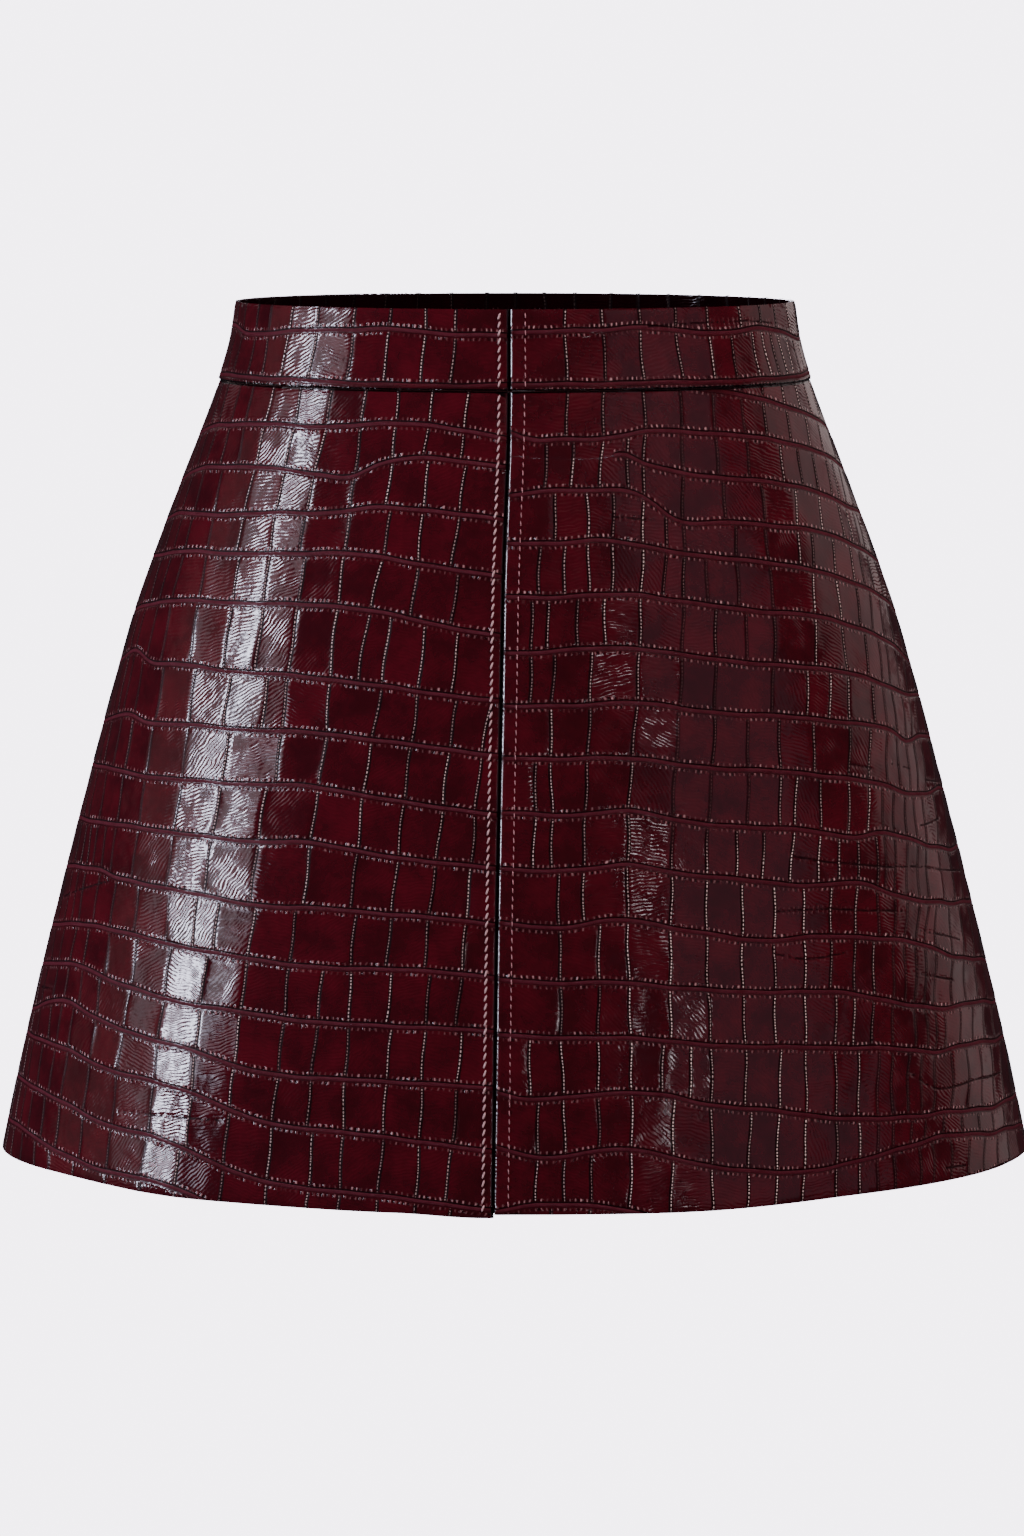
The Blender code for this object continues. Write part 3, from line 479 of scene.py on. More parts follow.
def meeting_points(above, below):
    """Where the grooves of the rows above and below a line meet it."""
    groups = []
    for along, row in sorted([(a, "above") for a in above] + [(b, "below") for b in below]):
        near = groups and len(groups[-1]) == 1 and along - groups[-1][0][0] < JOINED
        if near and groups[-1][0][1] != row:
            groups[-1].append((along, row))
        else:
            groups.append([(along, row)])
    return np.array([sum(along for along, _ in group) / len(group) for group in groups])


class Layout:
    """The lines of one piece, ruled first and then carried to where they really lie."""

    def __init__(self, pattern):
        self.pattern = pattern
        self.rows = pattern.piece.rows
        columns = [pattern.columns(row) for row in self.rows[:-1]]
        meets = [meeting_points(a, b) for a, b in zip([[], *columns], [*columns, []], strict=True)]

        def knots(i, places):
            return np.array([meets[i][np.argmin(np.abs(meets[i] - along))] for along in places])

        self.upper = [knots(i, column) for i, column in enumerate(columns)]
        self.lower = [knots(i + 1, column) for i, column in enumerate(columns)]
        rng = np.random.default_rng(pattern.piece.seed)
        shape = (len(columns), max(len(column) for column in columns))
        self.strength = rng.uniform(0.4, 1.0, shape)
        self.tilt_along = rng.normal(0, TILT, shape)
        self.tilt_down = rng.normal(0, TILT * 0.7, shape)
        self.tone = rng.uniform(0, 1, shape)
        self.phase = rng.uniform(0, 6.28, 4)

    def line(self, i, along):
        row = self.rows[i].line
        return curve(list(row), list(row.values()), along)

    def waver(self, along, down):
        """The unsteady hand of nature: how far a point of the ruled layout lies off its place."""
        p = self.phase
        wild = 1 + 1.6 * smooth(np.abs(along), WILD_FROM, WILD_UNTIL)
        right = np.sin(down / 5.1 + along / 9.7 + p[0]) + 0.6 * np.sin(down / 11.3 - along / 23 + p[1])
        lower = np.sin(along / 8.3 + down / 29 + p[2]) + 0.7 * np.sin(along / 3.9 + down / 17 + p[3])
        return WAVER_ALONG * wild * right, WAVER_DOWN * wild * lower

    def to_piece(self, along, down):
        """From the ruled layout to the real hide."""
        right, lower = self.waver(along, down)
        return along + right, down + lower

    def to_layout(self, along, down):
        """And back, in three steps that come closer."""
        a, d = along, down
        for _ in range(3):
            right, lower = self.waver(a, d)
            a, d = along - right, down - lower
        return a, d

    def read(self, along, down):
        """The scale that holds each point of the hide, and the lines on its four sides."""
        a, d = self.to_layout(along, down)
        lines = np.array([self.line(i, a) for i in range(len(self.rows))])
        row = np.clip((lines <= d).sum(0) - 1, 0, len(self.rows) - 2)
        k = np.arange(len(a))
        top, bottom = lines[row, k], lines[row + 1, k]
        share = (d - top) / (bottom - top)
        left, right, cell = np.zeros(len(a)), np.zeros(len(a)), np.zeros(len(a), int)
        for i in range(len(self.rows) - 1):
            here = np.nonzero(row == i)[0]
            lean = (self.lower[i] - self.upper[i])[:, None] * share[here]
            places = self.upper[i][:, None] + lean
            j = np.clip((places <= a[here]).sum(0) - 1, 0, len(places) - 2)
            n = np.arange(len(here))
            left[here], right[here], cell[here] = places[j, n], places[j + 1, n], j
        return At(a, d, row, cell, top, bottom, left, right)


# %% How high the pressed leather stands
CORD_HALF = 0.85  # half the width of the raised cord between two rows
CORD_CREST, CORD_FOOT = 0.3, 1.15  # its rounded top ends here, and its side here
ROW_DEPTH, COLUMN_DEPTH, CORD_SINK = 0.42, 0.12, 0.12
COLUMN_NARROW = 2.1  # how much narrower a fine groove is than one beside a cord
CORNER = 2.4  # radius of a scale's corners
EDGE_STEPS = ([0, 0.22, 0.5, 0.95, 1.8], [1, 0.75, 0.25, -0.03, 0])  # how a scale's edge falls
FLATNESS = 0.8  # 1 is a flat scale, and 0 one that bends with the body
EXTRA_DEPTH, EXTRA_HALF = 0.3, 0.75  # of the short lines within scales
EXTRA_END = 1.5  # how much faster the distance from such a line grows beyond its ends
BLEND_ALONG, BLEND_DOWN = 6, 15  # how softly an area that is pressed harder or softer begins
LEANING = (0.2, 2.0)  # a scale leans and flattens from its edge to this far within it
EDGE_SPAN = 6.0  # millimetres from a line over which the finish can tell how near it is


class Hide(Layout):
    """The pressed hide of one piece: how high it stands, and the marks for its finish."""

    def __init__(self, pattern, pressed=(), extra=(), missing=()):
        super().__init__(pattern)
        self.pressed, self.extra, self.missing = pressed, extra, missing

    def from_extra(self, line, along, down):
        """The distance of each point of the hide from one of the short lines within scales."""
        xs = list(line)
        away = np.abs(down - curve(xs, list(line.values()), along))
        beyond = np.maximum(np.maximum(xs[0] - along, along - xs[-1]), 0)
        return np.hypot(away, beyond * EXTRA_END)

    def pressing(self, along, down, strength):
        """How hard the columns are pressed, with some stretches of them softer or harder."""
        for area in self.pressed:
            share = smooth(along, area.left - BLEND_ALONG, area.left)
            share = share * (1 - smooth(along, area.right, area.right + BLEND_ALONG))
            share = share * smooth(down, area.top - BLEND_DOWN, area.top + BLEND_DOWN)
            share = share * (1 - smooth(down, area.bottom - BLEND_DOWN, area.bottom + BLEND_DOWN))
            strength = strength * (1 + (area.factor - 1) * share)
        return strength

    def scale_height(self, at, row_edge, column_edge, strength, bend):
        """The height of the scales, their grooves and the cords."""
        width = at.right - at.left
        middle = at.along - (at.left + at.right) / 2
        corner = np.minimum(CORNER, width / 3)
        row_part = np.clip(corner - (row_edge - CORD_HALF), 0, None)
        column_part = np.clip(corner - column_edge * COLUMN_NARROW, 0, None)
        inside = corner - np.hypot(row_part, column_part)
        total = np.maximum(row_part + column_part, 1e-6)
        fine = COLUMN_DEPTH * np.minimum(strength, 1)
        depth = (row_part * ROW_DEPTH + column_part * fine) / total
        height = -depth * np.interp(inside, *EDGE_STEPS)
        cord = 1 - smooth(row_edge, CORD_CREST, CORD_FOOT)
        height = np.maximum(height, -ROW_DEPTH + (ROW_DEPTH - CORD_SINK) * cord)
        flat = FLATNESS * bend * width**2 / 8 * (1 - (2 * middle / width) ** 2)
        tilt = self.tilt_along[at.row, at.cell] * middle
        tilt = tilt + self.tilt_down[at.row, at.cell] * (at.down - (at.top + at.bottom) / 2)
        return height + (tilt - flat) * smooth(inside, *LEANING)

    def relief(self, along, down, bend):
        """The height of the leather at points of the hide, and marks for its finish."""
        at = self.read(along, down)
        from_top, from_bottom = at.down - at.top, at.bottom - at.down
        from_left, from_right = at.along - at.left, at.right - at.along
        row_edge = np.maximum(np.minimum(from_top, from_bottom), 0)
        for gap in self.missing:
            beside = np.where(from_top < from_bottom, at.row, at.row + 1) == gap.line
            gone = smooth(along, gap.left - 1, gap.left) * (1 - smooth(along, gap.right - 1, gap.right))
            row_edge = row_edge + EDGE_SPAN * beside * gone
        column_edge = np.maximum(np.minimum(from_left, from_right), 0)
        nearest = np.minimum(at.cell + (from_right < from_left), self.strength.shape[1] - 1)
        strength = self.pressing(along, down, self.strength[at.row, nearest])
        height = self.scale_height(at, row_edge, column_edge, strength, bend)
        extra_edge = np.full(len(along), EDGE_SPAN)
        for line in self.extra:
            extra_edge = np.minimum(extra_edge, self.from_extra(line, along, down))
        height = height - EXTRA_DEPTH * np.exp(-((extra_edge / EXTRA_HALF) ** 2))
        marks = dict(
            hide_along=along,
            hide_down=down,
            row_edge=np.minimum(row_edge / EDGE_SPAN, 1),
            above_cord=np.where(from_top < from_bottom, 0.0, 1.0),
            column_edge=np.minimum(column_edge / EDGE_SPAN, 1),
            column_side=np.where(from_left < from_right, 1.0, -1.0),
            extra_edge=extra_edge / EDGE_SPAN,
            strength=strength,
            tone=self.tone[at.row, at.cell],
        )
        return height, marks


print("layouts:", [(name, len(Layout(pattern).upper)) for name, pattern in patterns.items()])


# %% [markdown]
# The mesh of a row is a grid that follows its own scales: its lines lie close together along every
# groove and far apart in the middle of a scale. Where two rows meet, their grids share the points
# of both on the crest of the cord. An even grid fine enough for the same crispness would need ten
# times as many faces.

# %% A mesh that follows the scales
ROW_STEPS = [0, 0.5, 0.85, 1.15, 1.5, 2.0, 3.0]  # distances from a cord's crest that get a cut
COLUMN_STEPS = [0, 0.11, 0.24, 0.45]  # and from a fine groove
NARROW = 9  # a scale narrower than this gets one more cut, and a wider one the full number
ROOM = 1.3  # half a scale is at least this many times as wide as its first cuts reach
EASE = 1.3  # how fast the cuts draw apart towards the middle of a scale, as a power


def steps(length, near, count):
    """Places from one side of a scale to the other, close together near both sides."""
    half = length / 2
    squeeze = np.minimum(1, half / (near[-1] * ROOM))
    first = [squeeze * step for step in near]
    rest = [first[-1] + (half - first[-1]) * (k / count) ** EASE for k in range(1, count + 1)]
    first = first + rest
    return first + [length - step for step in first[-2::-1]]


def row_grid(hide, i, count):
    """The grid of one row in the ruled layout: shape (down, along, 2)."""
    upper, lower = hide.upper[i], hide.lower[i]
    middle = (upper + lower) / 2
    share_lists = []
    for width in np.diff(middle):
        places = steps(width, COLUMN_STEPS, count if width > NARROW else 1)
        share_lists.append(np.array(places[:-1]) / width)
    cells = [np.full(len(shares), k) for k, shares in enumerate(share_lists)]
    cells = np.concatenate([*cells, [len(upper) - 2]]).astype(int)
    shares = np.concatenate([*share_lists, [1.0]])

    def place(t):
        left = upper[cells] + (lower[cells] - upper[cells]) * t
        right = upper[cells + 1] + (lower[cells + 1] - upper[cells + 1]) * t
        return left + (right - left) * shares

    along = place(0.5)
    height = hide.line(i + 1, along) - hide.line(i, along)
    grid = []
    for step in steps(height, ROW_STEPS, count + 1):
        t = step / height
        a = place(t)
        top, bottom = hide.line(i, a), hide.line(i + 1, a)
        d = np.where(t < 0.5, top + step, bottom - (height - step))
        grid.append(np.stack([a, d], -1))
    return np.array(grid)


print("cuts across a scale 16 mm wide:", np.round(steps(16.0, COLUMN_STEPS, 3), 1))

# %% Rows that share their common lines
SHARED = 0.25  # points of two rows this close on their common line are one


def shared_line(above, below):
    """The points of two rows on their common line: their places, and each row's own indices."""
    if above is None or below is None:
        only = below if above is None else above
        return only, np.arange(len(only)), np.arange(len(only))
    nearest = np.abs(above[:, None] - below[None, :]).argmin(1)
    apart = np.abs(above - below[nearest]) > SHARED
    places = np.sort(np.concatenate([below, above[apart]]))
    own = np.where(apart, above, below[nearest])
    return places, np.searchsorted(places, own), np.searchsorted(places, below)


def layout_mesh(hide, cuts):
    """Points and faces over the whole ruled layout, with more room round it than the piece."""
    count = len(hide.rows) - 1
    grids = [row_grid(hide, i, cuts) for i in range(count)]
    points, faces, lines = [], [], []
    total = 0
    for i in range(count + 1):
        above = grids[i - 1][-1, :, 0] if i > 0 else None
        below = grids[i][0, :, 0] if i < count else None
        places, upper_index, lower_index = shared_line(above, below)
        points.append(np.stack([places, hide.line(i, places)], -1))
        lines.append(((upper_index + total).tolist(), (lower_index + total).tolist()))
        total += len(places)
    for i, grid in enumerate(grids):
        inner = grid[1:-1]
        points.append(inner.reshape(-1, 2))
        index = np.arange(inner.shape[0] * inner.shape[1]).reshape(inner.shape[:2]) + total
        total += index.size
        quads = np.stack([index[1:, :-1], index[1:, 1:], index[:-1, 1:], index[:-1, :-1]], -1)
        faces += quads.reshape(-1, 4).tolist()
        top, bottom = lines[i][1], lines[i + 1][0]
        highest, lowest = index[0].tolist(), index[-1].tolist()
        for j in range(len(highest) - 1):
            faces.append([highest[j], highest[j + 1], *range(top[j + 1], top[j] - 1, -1)])
            faces.append([lowest[j + 1], lowest[j], *range(bottom[j], bottom[j + 1] + 1)])
    return np.concatenate(points), faces


places, _, _ = shared_line(np.array([0.0, 5.0, 9.0]), np.array([0.1, 4.0, 9.0]))
print("two rows with points at 0, 5, 9 and at 0.1, 4, 9 share a line with points at", places)

# %% [markdown]
# A sheet is cut to its outline with straight cuts, just as leather is, because every panel is a
# rectangle once it is measured as a share across and a height. A few more cuts run close beside the
# folded edges, so that those can be rounded. Near the short lines within scales, which the grid
# doesn't follow, the edges are halved until they are fine enough.

# %% A cut, and finer edges near short lines
ON_PLANE = 0.001
HALVED_OVER = 0.7  # edges longer than this are halved


def cut(bm, point, away, clear=True, near=None):
    """Cut a flat mesh along a line, and clear what lies beyond it if asked."""
    faces = bm.faces
    if near is not None:
        faces = [face for face in bm.faces if face.verts[0].co.x < near]
    verts = {vert for face in faces for vert in face.verts}
    edges = {edge for face in faces for edge in face.edges}
    bmesh.ops.bisect_plane(bm, geom=[*verts, *edges, *faces], dist=ON_PLANE, plane_co=point,
                           plane_no=away, clear_outer=clear)


def split_near_extra(bm, hide, reach):
    """Halve the longer edges near the short lines within scales."""
    pattern = hide.pattern
    bm.verts.index_update()
    flat = np.array([vert.co[:2] for vert in bm.verts])
    along, down = pattern.hide(flat[:, 0] / pattern.mean, -flat[:, 1])
    near = np.min([hide.from_extra(line, along, down) for line in hide.extra], axis=0) < reach
    edges = [edge for edge in bm.edges
             if not edge.is_boundary and edge.calc_length() > HALVED_OVER
             and (near[edge.verts[0].index] or near[edge.verts[1].index])]
    bmesh.ops.subdivide_edges(bm, edges=edges, cuts=1)


print("edges are halved down to", HALVED_OVER, "mm")

# %% Cutting a sheet to its outline
# How far the two folded centre front edges have turned in, by the distance from the seam: one dives
# into it, and the other stands a little proud of it and turns in at an even slope.
TURN_AT = [0, 0.12, 0.35, 0.6, 0.85, 1.2, 1.7]
DIVING, SLOPING = [1.8, 1.5, 1.1, 0.72, 0.42, 0.15, 0], [0.9, 0.685, 0.52, 0.34, 0.16, 0.02, 0]
SLOPING_PROUD, PROUD_UNTIL = 0.35, (2, 9)  # how proud it stands, and where that fades out
SPARE = 30  # millimetres left beyond the outline before it is cut
BESIDE_FOLD = 12  # the cuts along a fold reach only the faces that start this close to it
WELD = 0.03  # points closer than this become one
HALVED_WITHIN = (3.2, 1.8, 1.2)  # how near a short line edges are halved, once for each


def flat_sheet(hide, cuts):
    """The piece's face laid flat and cut out: X across, -Y down."""
    pattern = hide.pattern
    points, faces = layout_mesh(hide, cuts)
    across, drop = pattern.place(*hide.to_piece(points[:, 0], points[:, 1]))
    flat = np.stack([across * pattern.mean, -drop, np.zeros(len(across))], -1)
    mesh = bpy.data.meshes.new("sheet")
    mesh.from_pydata(flat.tolist(), [], faces)
    bm = bmesh.new()
    bm.from_mesh(mesh)
    bpy.data.meshes.remove(mesh)
    wide, tall = pattern.mean, pattern.fall
    outside = [vert for vert in bm.verts if not (
        -SPARE < vert.co.x < wide + SPARE and -tall - SPARE < vert.co.y < SPARE)]
    bmesh.ops.delete(bm, geom=outside, context="VERTS")
    cut(bm, (0, 0, 0), (-1, 0, 0))
    cut(bm, (wide, 0, 0), (1, 0, 0))
    cut(bm, (0, 0, 0), (0, 1, 0))
    cut(bm, (0, -tall, 0), (0, -1, 0))
    if pattern.piece.start is None:
        for step in TURN_AT[1:]:
            cut(bm, (step, 0, 0), (1, 0, 0), clear=False, near=BESIDE_FOLD)
    bmesh.ops.remove_doubles(bm, verts=bm.verts, dist=WELD)
    for reach in HALVED_WITHIN if hide.extra else ():
        split_near_extra(bm, hide, reach)
    bmesh.ops.triangulate(bm, faces=[face for face in bm.faces if len(face.verts) > 4])
    return bm


def boundary_loop(bm):
    """The outline's points in order round the sheet."""
    edge = next(edge for edge in bm.edges if edge.is_boundary)
    first, current = edge.verts
    loop = [first, current]
    while True:
        edge = next(e for e in current.link_edges if e.is_boundary and e is not edge)
        current = edge.other_vert(current)
        if current is first:
            return loop
        loop.append(current)


print("flat sheets:", {name: (round(p.mean), round(p.fall)) for name, p in patterns.items()})

# %% [markdown]
# A skirt that has been worn has soft creases. Each is a trough or a ridge along a short line, bowed
# a little and fading out at both ends. Cloth simulation would crease leather at random, so these
# are placed one by one, uneven as they are, and on the back in the same way as in front.

# %% Soft creases, placed one by one
# A crease runs from start to end, each a distance across from the start edge and a height below the
# top edge. half is half its width, and depth how far it stands out or, below zero, sinks in.
Crease = namedtuple("Crease", "start end half depth")
BOW = 0.08  # how far a crease is bowed, as a share of its length
FADE_IN, FADE_OUT = (-0.15, 0.3), (0.7, 1.15)  # where it begins and ends, as shares of its length
CREASES = {
    "front_right_panel": [
        Crease((60, 12), (84, 96), 12, -0.5), Crease((118, 40), (150, 150), 14, -0.6),
        Crease((152, 12), (174, 118), 12, 0.5), Crease((36, 150), (48, 298), 16, -0.5),
        Crease((96, 200), (122, 330), 16, 0.6), Crease((192, 178), (226, 332), 15, -0.6),
    ],
    "front_left_panel": [
        Crease((50, 14), (72, 112), 12, -0.5), Crease((110, 60), (140, 172), 14, 0.5),
        Crease((72, 232), (76, 336), 8, 0.6), Crease((93, 250), (98, 338), 8, 0.5),
        Crease((150, 28), (178, 152), 12, -0.5), Crease((158, 216), (180, 334), 16, -0.6),
        Crease((212, 190), (240, 330), 14, 0.6),
    ],
    "back_panel": [
        Crease((60, 20), (82, 134), 13, -0.6), Crease((122, 8), (130, 92), 11, 0.5),
        Crease((190, 6), (188, 124), 15, -0.6), Crease((252, 14), (236, 118), 12, 0.5),
        Crease((322, 22), (296, 136), 13, -0.6), Crease((112, 186), (88, 336), 16, 0.6),
        Crease((200, 216), (196, 340), 17, -0.7), Crease((330, 196), (362, 338), 15, 0.6),
        Crease((432, 182), (474, 332), 16, -0.6),
    ],
}


def creased(name, across_mm, drop):
    """How far the creases push a piece's face out."""
    push = np.zeros(len(across_mm))
    for crease in CREASES.get(name, ()):
        (x0, y0), (x1, y1) = crease.start, crease.end
        run = np.hypot(x1 - x0, y1 - y0)
        t = ((across_mm - x0) * (x1 - x0) + (drop - y0) * (y1 - y0)) / run**2
        side = ((across_mm - x0) * (y1 - y0) - (drop - y0) * (x1 - x0)) / run
        bow = BOW * run * (4 * t * (1 - t)) * np.where((t > 0) & (t < 1), 1, 0)
        fade = smooth(t, *FADE_IN) * (1 - smooth(t, *FADE_OUT))
        push += crease.depth * fade * np.exp(-(((side - bow) / crease.half) ** 2))
    return push


print("creases:", {name: len(creases) for name, creases in CREASES.items()})

# %% [markdown]
# A wall of leather is its face, its plain flesh side and the cut or folded edge between them, closed
# all round. Blender's Solidify modifier would offset the crisp face and copy every groove to the
# inside, so the inside is a sheet of its own, with only a step where an edge is turned in.

# %% Objects and closed meshes


def new_object(name, data):
    """A mesh, a lamp or a camera as an object in the scene."""
    made = bpy.data.objects.new(name, data)
    bpy.context.scene.collection.objects.link(made)
    return made


def mesh_object(name, points, faces, finish, rounded=True):
    """A mesh from points in millimetres, with its faces turned outwards."""
    mesh = bpy.data.meshes.new(name)
    mesh.from_pydata((np.array(points) * MM).tolist(), [], faces)
    bm = bmesh.new()
    bm.from_mesh(mesh)
    bmesh.ops.recalc_face_normals(bm, faces=bm.faces)
    open_edges = sum(not edge.is_manifold for edge in bm.edges)
    bm.to_mesh(mesh)
    bm.free()
    mesh.polygons.foreach_set("use_smooth", np.full(len(faces), rounded))
    mesh.materials.append(finish)
    print(name, "triangles", sum(len(face) - 2 for face in faces), "open edges", open_edges)
    return new_object(name, mesh)


def joined(parts):
    """The points and faces of several parts as one."""
    points, faces = [], []
    for more, their_faces in parts:
        faces += [[len(points) + k for k in face] for face in their_faces]
        points += list(more)
    return points, faces


def ring_faces(rings, sides):
    """The faces between rings of points that follow one another."""
    return [[k * sides + n, k * sides + (n + 1) % sides, (k + 1) * sides + (n + 1) % sides,
             (k + 1) * sides + n] for k in range(rings - 1) for n in range(sides)]


def tube_faces(rings, sides):
    """The same, closed at both ends."""
    last = (rings - 1) * sides
    return [list(range(sides))[::-1], list(range(last, last + sides)), *ring_faces(rings, sides)]


print("faces of a closed tube of 6 rings of 7 points:", len(tube_faces(6, 7)))

# %% From a flat sheet to the body
LOW_CORNER = 1.6  # how much lower the corner of the diving front edge hangs, in millimetres
CORNER_TALL, CORNER_WIDE = 90, (5, 45)  # over this height, and fading out between these widths


def on_body(pattern, flat, lift):
    """Points of the flat sheet brought to their place on the tube, lift outside its face."""
    drop = -flat[:, 1]
    across = flat[:, 0] / pattern.mean
    height = pattern.piece.top - drop
    angle = pattern.stretch.angle(across, height)
    length = pattern.stretch.length(height)
    if pattern.piece.name == "front_right_panel":
        share = smooth(drop, pattern.fall - CORNER_TALL, pattern.fall)
        share = share * (1 - smooth(across * length, *CORNER_WIDE))
        height = height - LOW_CORNER * share
    push = creased(pattern.piece.name, across * length, drop)
    return tube_point(angle, height) + tube_normal(angle, height) * (lift + push)[:, None]


def edge_distance(pattern, flat):
    """Distance of each flat point from the start and the end edge, measured on the leather."""
    length = pattern.stretch.length(pattern.piece.top + flat[:, 1])
    across = flat[:, 0] / pattern.mean
    return across * length, (1 - across) * length


corner = np.array([[0.0, -patterns["front_right_panel"].fall]])
print("low corner at:", np.round(on_body(patterns["front_right_panel"], corner, 0)[0], 1))

# %% The face of a piece, and the marks for its finish
EDGE_DROP, EDGE_ROUND = 0.35, 1.2  # how far the top and bottom edges curve away, and over how much
# The finish paints the very edge at a seam near black, which is painted shadow in the seam. This
# much is added to the distance from it, at the top of a panel, at the bottom of the band and at the
# sloping fold.
AT_WAIST, AT_BAND, AT_FOLD = 0.5, 0.7, 0.9
FAR_FROM_SEAM = 20  # no distance is counted beyond this


def face_of(hide, flat):
    """The lift of the face at flat points, and the marks for its finish."""
    pattern = hide.pattern
    piece = pattern.piece
    height = piece.top + flat[:, 1]
    across = flat[:, 0] / pattern.mean
    along, down = pattern.hide(across, -flat[:, 1])
    bend = tube_bend(pattern.stretch.angle(across, height), height)
    lift, marks = hide.relief(along, down, bend)
    from_start, _ = edge_distance(pattern, flat)
    lift = lift + (0 if piece.curved else BAND_PROUD)
    if piece.start is None:
        proud = 0 if piece.end < 0 else SLOPING_PROUD * (1 - smooth(from_start, *PROUD_UNTIL))
        turned = np.interp(from_start, TURN_AT, DIVING if piece.end < 0 else SLOPING)
        lift = lift + proud - turned
    fold = np.minimum(-flat[:, 1], pattern.fall + flat[:, 1])
    lift = lift - EDGE_DROP * np.clip(1 - fold / EDGE_ROUND, 0, 1) ** 2
    if piece.curved:
        from_seam = AT_WAIST - flat[:, 1]
    else:
        from_seam = AT_BAND + pattern.fall + flat[:, 1]
    if piece.start is None:
        from_seam = np.minimum(from_seam, from_start + (0 if piece.end < 0 else AT_FOLD))
    marks["from_seam"] = np.minimum(from_seam, FAR_FROM_SEAM)
    return lift, marks


print("an edge is rounded over", EDGE_ROUND, "mm, and one that is folded over", TURN_AT[-1], "mm")

# %% The plain inside
INSIDE_GRID, TURN_STEP, MERGE = 14.0, 1.2, 0.0001


def inside_of(pattern, flat):
    """The depth of the plain inside: one layer, or more where an edge is turned in."""
    from_start, from_end = edge_distance(pattern, flat)
    from_hem = pattern.fall + flat[:, 1]
    turned = (np.minimum(from_start, from_end) < TURN_IN) | (from_hem < HEM_TURN)
    return -np.where(turned, FOLDED, LEATHER)


def spaced(length, turn):
    """Places for inside points along one direction: both sides of each turned edge, then even."""
    outer = turn - TURN_STEP / 2
    inner = turn + TURN_STEP / 2
    count = max(round((length - 2 * inner) / INSIDE_GRID), 2)
    return [outer, *np.linspace(inner, length - inner, count), length - outer]


def inside_sheet(pattern, outline):
    """Triangles of the plain inside, over the outline's points and a coarse grid within them."""
    columns = spaced(pattern.mean, TURN_IN)
    rows = [y for y in spaced(pattern.fall, HEM_TURN) if y > INSIDE_GRID / 2]
    points = [tuple(p) for p in outline] + [(x, -y) for x in columns for y in rows]
    n = len(outline)
    made = delaunay_2d_cdt(points, [(i, (i + 1) % n) for i in range(n)], [], 1, MERGE)
    flat = np.array([tuple(p) for p in made[0]])
    return flat, [list(face) for face in made[2]], [made[3][k][0] for k in range(len(flat))]


print("inside columns of the back:", len(spaced(patterns["back_panel"].mean, TURN_IN)))

# %% A closed wall of leather
CUTS, BACK_CUTS = 3, 2  # in the middle of a scale, and of one on the wide back
SHARP = math.radians(62)  # a bend sharper than this is an edge
BAND_INSIDE = BAND_PROUD - BAND_WALL  # the depth of the facing, which shows the print more softly
SOFTENED, MOST_OUT = 0.8, 0.3  # share of the print's height that it shows, and the most it may


def leather_wall(hide, face_finish, inside_finish):
    """One closed wall with its marks: the face, the inside, and the edge between them."""
    pattern = hide.pattern
    name = pattern.piece.name
    bm = flat_sheet(hide, BACK_CUTS if name == "back_panel" else CUTS)
    bm.verts.index_update()
    flat = np.array([vert.co[:2] for vert in bm.verts])
    faces = [[vert.index for vert in face.verts] for face in bm.faces]
    loop = [vert.index for vert in boundary_loop(bm)]
    bm.free()
    lift, marks = face_of(hide, flat)
    outer = on_body(pattern, flat, lift)
    face_count = len(faces)
    if pattern.piece.curved:
        inner_flat, inner_faces, order = inside_sheet(pattern, flat[loop])
        inner = on_body(pattern, inner_flat, inside_of(pattern, inner_flat))
        where = {source: k for k, source in enumerate(order)}
        rim = [len(outer) + where[k] for k in range(len(loop))]
    else:
        inner_faces = [face[::-1] for face in faces]
        back = BAND_INSIDE - (lift - BAND_PROUD) * SOFTENED
        inner = on_body(pattern, flat, np.minimum(back, BAND_INSIDE + MOST_OUT))
        rim = [len(outer) + k for k in loop]
    faces += [[len(outer) + k for k in face] for face in inner_faces]
    inside_until = len(faces)
    for k in range(len(loop)):
        n = (k + 1) % len(loop)
        faces.append([loop[k], loop[n], rim[n], rim[k]])
    made = mesh_object(name + "_leather", np.concatenate([outer, inner]), faces, face_finish)
    made.data.materials.append(inside_finish)
    kinds = np.zeros(len(faces), np.int32)
    kinds[face_count:inside_until] = 1
    made.data.polygons.foreach_set("material_index", kinds)
    for mark, values in marks.items():
        inside = values
        if pattern.piece.curved:
            inside = np.full(len(inner), 1.0 if mark.endswith("edge") else 0.0)
        layer = made.data.attributes.new(mark, "FLOAT", "POINT")
        layer.data.foreach_set("value", np.concatenate([values, inside]).astype(np.float32))
    made.data.set_sharp_from_angle(angle=SHARP)
    return made


print("the facing lies", round(-BAND_INSIDE, 2), "mm inside the panels' face")

# %% [markdown]
# The leather is glazed calf: dyed deep burgundy, printed by the plate, then polished under a glass
# cylinder with a clear protein finish. The finish is a coat of its own over the dyed leather. It
# gives a hard, nearly wet shine on the flat scales, and follows every wrinkle, so they show in the
# light. The grooves are painted near black, which is painted shade, and their coat is duller. On the
# cord between rows the coat is all but rubbed away, so it is matt, and its paler colour is partly the
# rubbed finish and partly painted sheen.

# %% Colour and node helpers


def colour(code):
    """An sRGB hex colour as linear red, green, blue, alpha."""
    parts = [int(code[i : i + 2], 16) / 255 for i in (1, 3, 5)]
    linear = [c / 12.92 if c <= 0.04045 else ((c + 0.055) / 1.055) ** 2.4 for c in parts]
    return (*linear, 1)


